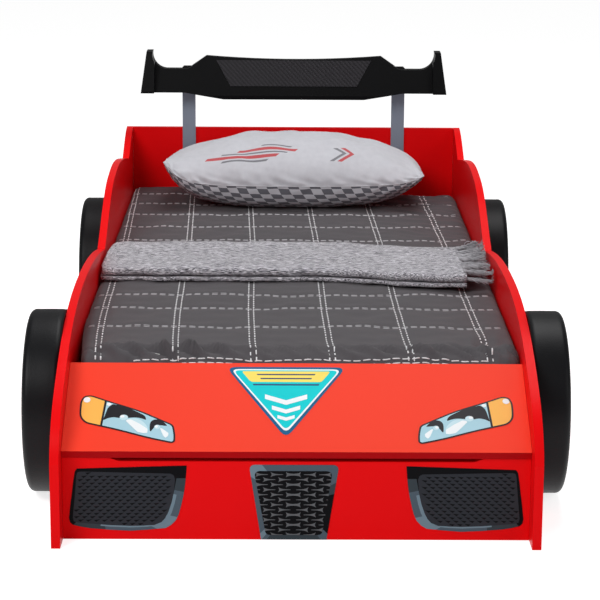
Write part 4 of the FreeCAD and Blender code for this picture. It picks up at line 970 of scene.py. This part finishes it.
def quilt():
    """The quilted cover and its rows of stitches."""
    half_s = QUILT_HALF_X - QUILT_BEND + QUILT_BEND * math.pi / 2 + QUILT_DROP
    front_t = QUILT_HALF_Y - FRONT_BEND + FRONT_BEND * math.pi / 2 + 0.012
    rear_t = QUILT_HALF_Y - QUILT_BEND + QUILT_BEND * math.pi / 2 + QUILT_DROP
    t, s = np.meshgrid(np.linspace(-front_t, rear_t, 271), np.linspace(-half_s, half_s, 151),
                       indexing="ij")
    cover = make_piece("quilt_cover", quilt_surface(s, t), grid_faces(*s.shape), QUILT_CLOTH)
    solid = cover.modifiers.new("thickness", "SOLIDIFY")
    solid.thickness, solid.offset = 0.0028, -1.0
    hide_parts("quilt")
    white, grey = [], []
    for pair in (-0.5, 0.5):
        for row in LONG_ROWS:
            white += stitches(np.arange(-front_t + 0.01, rear_t - 0.09, 0.0176), 0.0102, lambda t: (
                row + pair * PAIR_GAP + row_drift(t + QUILT_MIDDLE)
                - 0.015 * front_pull(row, t + QUILT_MIDDLE), t), 0.0017, 0.4)
        for row in CROSS_ROWS:
            grey += stitches(np.arange(-0.445, 0.44, 0.0197), 0.0140, lambda s: (
                s, back_from_front(row) - QUILT_MIDDLE + pair * 0.0085 + row_wave(s, row)),
                0.0011)
        white += stitches(np.arange(-0.345, 0.38, 0.0200), 0.0162, lambda s: (
            s, -QUILT_HALF_Y + 0.01225 - 0.0105 * pair + 0.5 * row_wave(s, 0.3)
            - 0.006 * np.exp(-(s + 0.36) / 0.06)), 0.0017)
    pale = make_piece("quilt_stitches", *join_parts(white), STITCH_WHITE)
    dull = make_piece("quilt_cross_stitches", *join_parts(grey), STITCH_GREY)


mattress()
quilt()


# ---- pillow ----
def pillow_print(name):
    """White cotton over, grey chequer under, and plain racing stripes on the upper side.

    The UV map holds the cut cloth in metres; the underside's is shifted down by 2.
    """
    cloth = Finish(name, (0.6, 0.6, 0.63), 0.86, Sheen_Weight=0.2, Specular_IOR_Level=0.25)
    weave = cloth.node(WEAVE, Vector=cloth.place(), Threads_per_metre=800.0).outputs
    source = cloth.node("ShaderNodeUVMap")
    source.uv_map = "print"
    across, up = cloth.split(source.outputs[0])[:2]

    def both(first, second):
        return cloth.math("MULTIPLY", first, second)

    def within(socket, low, high):
        return both(cloth.math("GREATER_THAN", socket, low), cloth.math("LESS_THAN", socket, high))

    column = cloth.math("DIVIDE", cloth.math("MULTIPLY_ADD", up, -0.35, across), 0.0215)
    row = cloth.math("DIVIDE", up, 0.0185)
    squares = cloth.math("ADD", cloth.math("FLOOR", column), cloth.math("FLOOR", row))
    odd = cloth.math("MODULO", cloth.math("ADD", squares, 400.0), 2.0)
    chequer = cloth.blend(cloth.math("LESS_THAN", odd, 0.5), (0.52, 0.52, 0.56),
                          (0.13, 0.13, 0.15))
    colour = cloth.blend(cloth.math("LESS_THAN", up, -1.0),
                         cloth.blend(weave["Shade"], (0.5, 0.5, 0.54), (0.6, 0.6, 0.64)), chequer)
    lean = cloth.math("MULTIPLY_ADD", up, -0.7, across)
    arrow = cloth.math("MULTIPLY_ADD", cloth.math("ABSOLUTE", cloth.math("ADD", up, 0.115)),
                       0.8, across)
    red, dull = (0.5, 0.09, 0.1), (0.2, 0.2, 0.22)
    for low, high, line, first, last, ink in (
            (-0.150, -0.143, lean, -0.05, 0.05, dull), (-0.137, -0.126, lean, -0.10, 0.06, red),
            (-0.121, -0.116, lean, -0.07, 0.07, dull), (-0.111, -0.101, lean, -0.04, 0.08, red),
            (-0.095, -0.090, lean, 0.0, 0.06, dull), (-0.150, -0.090, arrow, 0.100, 0.109, dull),
            (-0.150, -0.090, arrow, 0.116, 0.126, red)):
        colour = cloth.blend(both(within(up, low, high), within(line, first, last)), colour, ink)
    cloth.set(Base_Color=colour)
    cloth.relief(weave["Height"], 0.0001, 0.6)
    return cloth.material


def blown_up(cloth, frames, pressure):
    """Runs a pressure simulation on a closed cloth without gravity and gives its points."""
    modifier = cloth.modifiers.new("inflate", "CLOTH")
    settings = modifier.settings
    settings.quality, settings.mass, settings.air_damping = 6, 0.25, 3.0
    settings.tension_stiffness = settings.compression_stiffness = 40.0
    settings.shear_stiffness, settings.bending_stiffness = 10.0, 0.25
    settings.tension_damping = settings.compression_damping = settings.shear_damping = 10.0
    settings.use_pressure, settings.uniform_pressure_force = True, pressure
    settings.effector_weights.gravity = 0.0
    modifier.point_cache.frame_end = frames
    scene = bpy.context.scene
    for number in range(1, frames + 1):
        scene.frame_set(number)
    settled = cloth.evaluated_get(bpy.context.evaluated_depsgraph_get()).data
    points = np.empty(len(settled.vertices) * 3)
    settled.vertices.foreach_get("co", points)
    cloth.modifiers.remove(modifier)
    scene.frame_set(1)
    return points.reshape(-1, 3)


def finer(height, mesh, rounds=24):
    """What is left of a cloth's height once its broad swell is smoothed away."""
    edges = np.empty(len(mesh.edges) * 2, int)
    mesh.edges.foreach_get("vertices", edges)
    a, b = edges.reshape(-1, 2).T
    number = np.bincount(a, minlength=len(height)) + np.bincount(b, minlength=len(height))
    broad = height.copy()
    for _ in range(rounds):
        total = np.bincount(a, broad[b], len(height)) + np.bincount(b, broad[a], len(height))
        broad = 0.5 * broad + 0.5 * total / number
    return np.clip(height - broad, -0.06, 0.06)


def pillow_form(u, v, side, creases):
    """The pillow's points by its cut cloth's u and v from -1 to 1 and its side, +1 or -1.

    Its swell is a product of two arches across and along. The seam's front corners are lifted
    as ears, the middle of each edge is drawn in, tucks run from the seam and fans of creases
    from the front corners, and an exponential presses the underside flat where it rests.
    """
    across, deep = np.sin(1.5708 * u), np.sin(1.5708 * v)
    upward, outward = side > 0, np.where(deep < 0, -1, 1)
    full = np.maximum(1 - np.abs(across) ** 2.4, 0) ** 0.62 * np.where(
        upward, np.maximum(1 - np.abs(deep) ** 2.2, 0) ** 0.56,
        np.maximum(1 - np.abs(deep) ** 2.8, 0) ** 0.40)
    x = 0.350 * across * (1 - 0.10 * np.clip(deep, 0, 1) ** 2)
    y = back_from_front(2.160) - 0.190 + 0.188 * deep
    y -= outward * 0.007 * np.exp(-((np.abs(u) - 0.55) / 0.4) ** 2) * (1 - full)
    ear = np.clip(1 - deep, 0, 2) / 2
    seam = 0.3905 + np.where(u < 0, 0.056, 0.022) * np.abs(across) ** 9 * ear + (
        0.008 * np.abs(across) ** 3)
    z = seam + side * np.where(upward, 0.1155, 0.086) * full + 0.10 * creases * full ** 0.3
    near_seam = np.exp(-full / 0.16) * (1 - np.exp(-full / 0.02))
    tucks = ripple(u * 0.38, 0.15 * v, 23, (0.020, 0.036)) * near_seam
    y += outward * tucks * 0.0046
    z += side * tucks * 0.0030
    for end, lift in ((-1, 0.0075), (1, 0.0055)):
        away = np.hypot((u - end) * 1.6, v + 1)
        turn = np.arctan2(v + 1.02, np.abs(u - end) * 1.6)
        z += side * lift * np.sin(turn * 13 + 1.3 * end + 2 * v) * np.exp(
            -((away - 0.45) / 0.35) ** 2) * full ** 0.5
    z += np.where(upward, 0.0038, 0.0) * ripple(x, y, 25, (0.16, 0.09)) * full
    bed, soft = 0.3226, 0.02
    above = z - bed
    above = np.where(above > soft, above,
                     soft * np.exp(np.minimum((above - soft) / soft, 0)) * 0.999)
    return np.stack((x, y, bed + np.where(above < 0.0075, above * 0.25, above)), -1)


def pillow():
    """Two cut sheets sewn round their edges and blown up, then laid where the pillow lies.

    Only the small creases of the blown-up cloth are kept, on a plump form worked out anew.
    """
    columns, rows, half_w, half_d = 85, 51, 0.405, 0.245
    v, u = np.meshgrid(np.linspace(-1, 1, rows), np.linspace(-1, 1, columns), indexing="ij")
    upper = np.stack((u * half_w, v * half_d, 0.02 * (1 - u ** 4) * (1 - v ** 4)), -1)
    edge = (np.abs(u) == 1) | (np.abs(v) == 1)
    index = np.arange(rows * columns).reshape(rows, columns)
    under = index.copy()
    under[~edge] = rows * columns + np.arange((~edge).sum())
    quads = np.array(grid_faces(rows, columns))
    case = make_piece(
        "pillow_case", np.concatenate((upper.reshape(-1, 3), upper[~edge] * (1, 1, -1))),
        quads.tolist() + under.ravel()[quads][:, ::-1].tolist(), pillow_print("pillow_cotton"),
        "loose_pillow")
    mesh = case.data
    corner = np.concatenate((quads.ravel(), quads[:, ::-1].ravel()))
    cut = upper.reshape(-1, 3)[corner, :2]
    cut[quads.size:, 1] -= 2.0
    mesh.uv_layers.new(name="print").data.foreach_set("uv", cut.astype(np.float32).ravel())
    side = np.concatenate((np.ones(rows * columns), -np.ones((~edge).sum())))
    creases = np.zeros(len(side))
    blown = blown_up(case, 26, 6.0)[:, 2]
    creases = finer((blown * 2 - blown.max() - blown.min()) / np.ptp(blown), mesh)
    points = pillow_form(np.concatenate((u.ravel(), u[~edge])),
                         np.concatenate((v.ravel(), v[~edge])), side, creases)
    mesh.vertices.foreach_set("co", points.astype(np.float32).ravel())
    mesh.update()
    smooth = case.modifiers.new("smooth", "SUBSURF")
    smooth.levels = smooth.render_levels = 1
    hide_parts("pillow")
    ring = np.concatenate((index[0, :-1], index[:-1, -1], index[-1, :0:-1], index[:0:-1, 0]))
    piping = make_piece("pillow_seam", *tube(points[ring], 0.0012, closed=True), SEAM_CLOTH,
                        "loose_pillow")


pillow()


# ---- throw ----
THROW_END = THROW_RIGHT - 0.046
THROW_START = THROW_LEFT - 0.003


def throw_line(x):
    """How far the folded blanket has crept forward, and how far it is lifted, at x."""
    t = np.clip((x - 0.060) / (THROW_RIGHT - 0.060), 0, 1)
    return 0.104 * t * t * (3 - 2 * t), 0.016 * t * t * t


def folded_path(run, levels):
    """The blanket's section: level runs one over another, joined by half ellipses."""
    path = []
    for layer, level in enumerate(levels):
        sign = -1 if layer % 2 else 1
        path += [(v * run - (0.007 if layer == 0 and v < -0.97 else 0), level)
                 for v in sign * np.linspace(-1, 1, 40)]
        if layer < len(levels) - 1:
            gap = levels[layer + 1] - level
            path += [(sign * (run + 0.45 * gap * math.cos(a)),
                      level + 0.5 * gap + 0.5 * gap * math.sin(a))
                     for a in np.linspace(-math.pi / 2, math.pi / 2, 9)[1:-1]]
    return np.array(path).T


def throw():
    """A knitted blanket folded in three: its section carried across the bed, narrowed and
    rounded at the left end, with ripples that grow from layer to layer and at the front."""
    run, levels = 0.5 * THROW_DEPTH - 0.012, (0.0046, 0.0162, 0.0262)
    along, level = folded_path(run, levels)
    layer = np.clip((level - levels[0]) / (levels[2] - levels[0]), 0, 1)
    x = np.repeat(np.linspace(THROW_START, THROW_END, 190)[:, None], len(along), 1)
    forward, lifted = throw_line(x)
    waist = 0.93 + 0.07 * np.clip((x - THROW_START) / 0.05, 0, 1) ** 0.5
    y = back_from_front(THROW_BACK) - THROW_DEPTH / 2 - forward + along * waist
    z = QUILT_TOP + 0.0006 + lifted + level
    share = np.clip(along / run, -1, 1)
    x = x + (0.003 * (share + 1) + 0.008 * np.abs(share) ** 6 * (0.3 + 0.7 * layer)) * np.exp(
        -(x - THROW_LEFT) / 0.03)
    front = np.clip(-along / run, 0, 1) ** 8
    for seed, sizes, size in ((17, (0.22, 0.1), 0.0030 * front),
                              (18, (0.12, 0.07), 0.0022 * front * (layer < 0.2)),
                              (40, (0.25,), 0.003 * layer)):
        y = y + ripple(x, 0 * y, seed, sizes) * size
    z = z + ripple(x, y, 31, (0.16, 0.09)) * 0.0011 * layer
    z = z - 0.006 * layer * np.clip(1 - (x - THROW_LEFT) / 0.05, 0, 1) ** 2
    blanket = make_piece("throw_blanket", np.stack((x, y, z), -1), grid_faces(*x.shape), KNIT,
                         "loose_throw")
    solid = blanket.modifiers.new("thickness", "SOLIDIFY")
    solid.thickness, solid.offset = 0.0088, 0.0
    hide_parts("throw")
    strands = fringe()


def fringe(tufts=24, strands=20):
    """Curly strands at the blanket's right end, in twisted tufts that stand up at the rear and
    droop at the front: each strand is a growing spiral about its tuft's bent line."""
    random = np.random.default_rng(8)
    parts = []
    forward, lifted = throw_line(THROW_RIGHT)
    middle = back_from_front(THROW_BACK) - THROW_DEPTH / 2 - forward
    reach, top = THROW_DEPTH / 2 - 0.012, QUILT_TOP + 0.031 + lifted
    turn_up, wall = 0.446, 0.4556
    t = np.linspace(0, 1, 14)
    for tuft in range(tufts):
        place = -1 + 2 * (tuft + 0.5) / tufts + random.uniform(-0.03, 0.03)
        height = top - random.uniform(0.002, 0.018)
        climb = (0.004 + 0.014 * max(place, -0.4)) * random.uniform(0.7, 1.2)
        lean = random.uniform(-0.012, 0.012) - (0.03 if place < -0.8 else 0)
        wide, turn = random.uniform(0.05, 0.075), random.uniform(0.6, 1.6)
        for strand in range(strands):
            angle = 6.28 * strand / strands + random.uniform(-0.3, 0.3)
            spread = random.uniform(0.15, 1.0)
            curl, phase = random.uniform(0.0010, 0.0036), random.uniform(0, 6.28)
            swing = angle + turn * 6.28 * t
            x = THROW_END - 0.006 + wide * random.uniform(0.55, 1.1) * t + (
                curl * t * np.sin(18 * t + phase))
            around = spread * (0.0095 - 0.004 * t + 0.011 * t ** 3)
            y = middle + reach * place + lean * t + around * np.cos(swing) + (
                curl * t * np.cos(20 * t + phase))
            z = height + climb * t * t + 0.006 / 0.0095 * 0.8 * around * np.sin(swing)
            excess = np.maximum(x - turn_up, 0)
            route = np.column_stack((np.minimum(x - excess * 0.75, wall),
                                     np.clip(y, -0.292, 0.052),
                                     np.clip(z + excess * 0.5, 0.3264, 0.3835)))
            parts.append(tube(route, random.uniform(0.0008, 0.0013) * (1 - 0.3 * t), 4))
    strands = make_piece("throw_strands", *join_parts(parts), YARN, "loose_throw")
    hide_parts("throw_fringe")
    return strands


throw()


# ---- floor, backdrop and light ----
def pale_floor():
    """White where the camera or a reflection looks, an ordinary pale surface to the light."""
    floor = Finish("floor_pale", (0.8, 0.8, 0.8), 0.9, Specular_IOR_Level=0.1)
    ray = floor.node("ShaderNodeLightPath").outputs
    seen = floor.math("MAXIMUM", ray["Is Camera Ray"], ray["Is Glossy Ray"])
    seen = floor.math("MAXIMUM", seen, ray["Is Transmission Ray"])
    glow = floor.node("ShaderNodeEmission", Color=(1, 1, 1),
                      Strength=floor.math("MULTIPLY", seen, 0.77))
    both = floor.node("ShaderNodeAddShader")
    floor.tree.links.new(floor.tree.nodes["Principled BSDF"].outputs[0], both.inputs[0])
    floor.tree.links.new(glow.outputs[0], both.inputs[1])
    floor.tree.links.new(both.outputs[0], floor.tree.nodes["Material Output"].inputs["Surface"])
    return floor.material


def studio():
    """A plain pale floor, a white world and three large soft lamps."""
    mesh = bpy.data.meshes.new("floor")
    mesh.from_pydata([(-30, -12, -0.0005), (30, -12, -0.0005), (30, 40, -0.0005),
                      (-30, 40, -0.0005)], [], [(0, 1, 2, 3)])
    floor = bpy.data.objects.new("floor", mesh)
    bpy.context.scene.collection.objects.link(floor)
    mesh.materials.append(pale_floor())
    world = bpy.data.worlds.new("world")
    world.use_nodes = True
    bpy.context.scene.world = world
    tree = world.node_tree
    background = tree.nodes["Background"]
    background.inputs["Color"].default_value = (1, 1, 1, 1)
    ray = tree.nodes.new("ShaderNodeLightPath").outputs
    seen = math_node(tree, "MAXIMUM", ray["Is Camera Ray"], ray["Is Transmission Ray"])
    feed(tree, background.inputs["Strength"], math_node(tree, "MULTIPLY_ADD", seen, 0.75, 0.25))
    for name, place, aim, size, power in (
            ("key", (-2.2, -3.4, 3.4), (0, -0.3, 0.3), 2.4, 116),
            ("fill", (3.2, -3.0, 2.2), (0, 0, 0.3), 2.6, 28),
            ("top", (0.4, 0.9, 3.6), (0, 0.3, 0.2), 2.2, 62)):
        data = bpy.data.lights.new(name, "AREA")
        data.shape, data.size, data.energy = "DISK", size, power
        away = np.subtract(place, aim)
        away = away / np.linalg.norm(away)
        side = np.cross((0, 0, 1), away)
        side /= np.linalg.norm(side)
        set_in_place(bpy.data.objects.new(name, data), side, np.cross(away, side), away, place)
    bpy.context.scene.view_settings.view_transform = "Standard"


studio()
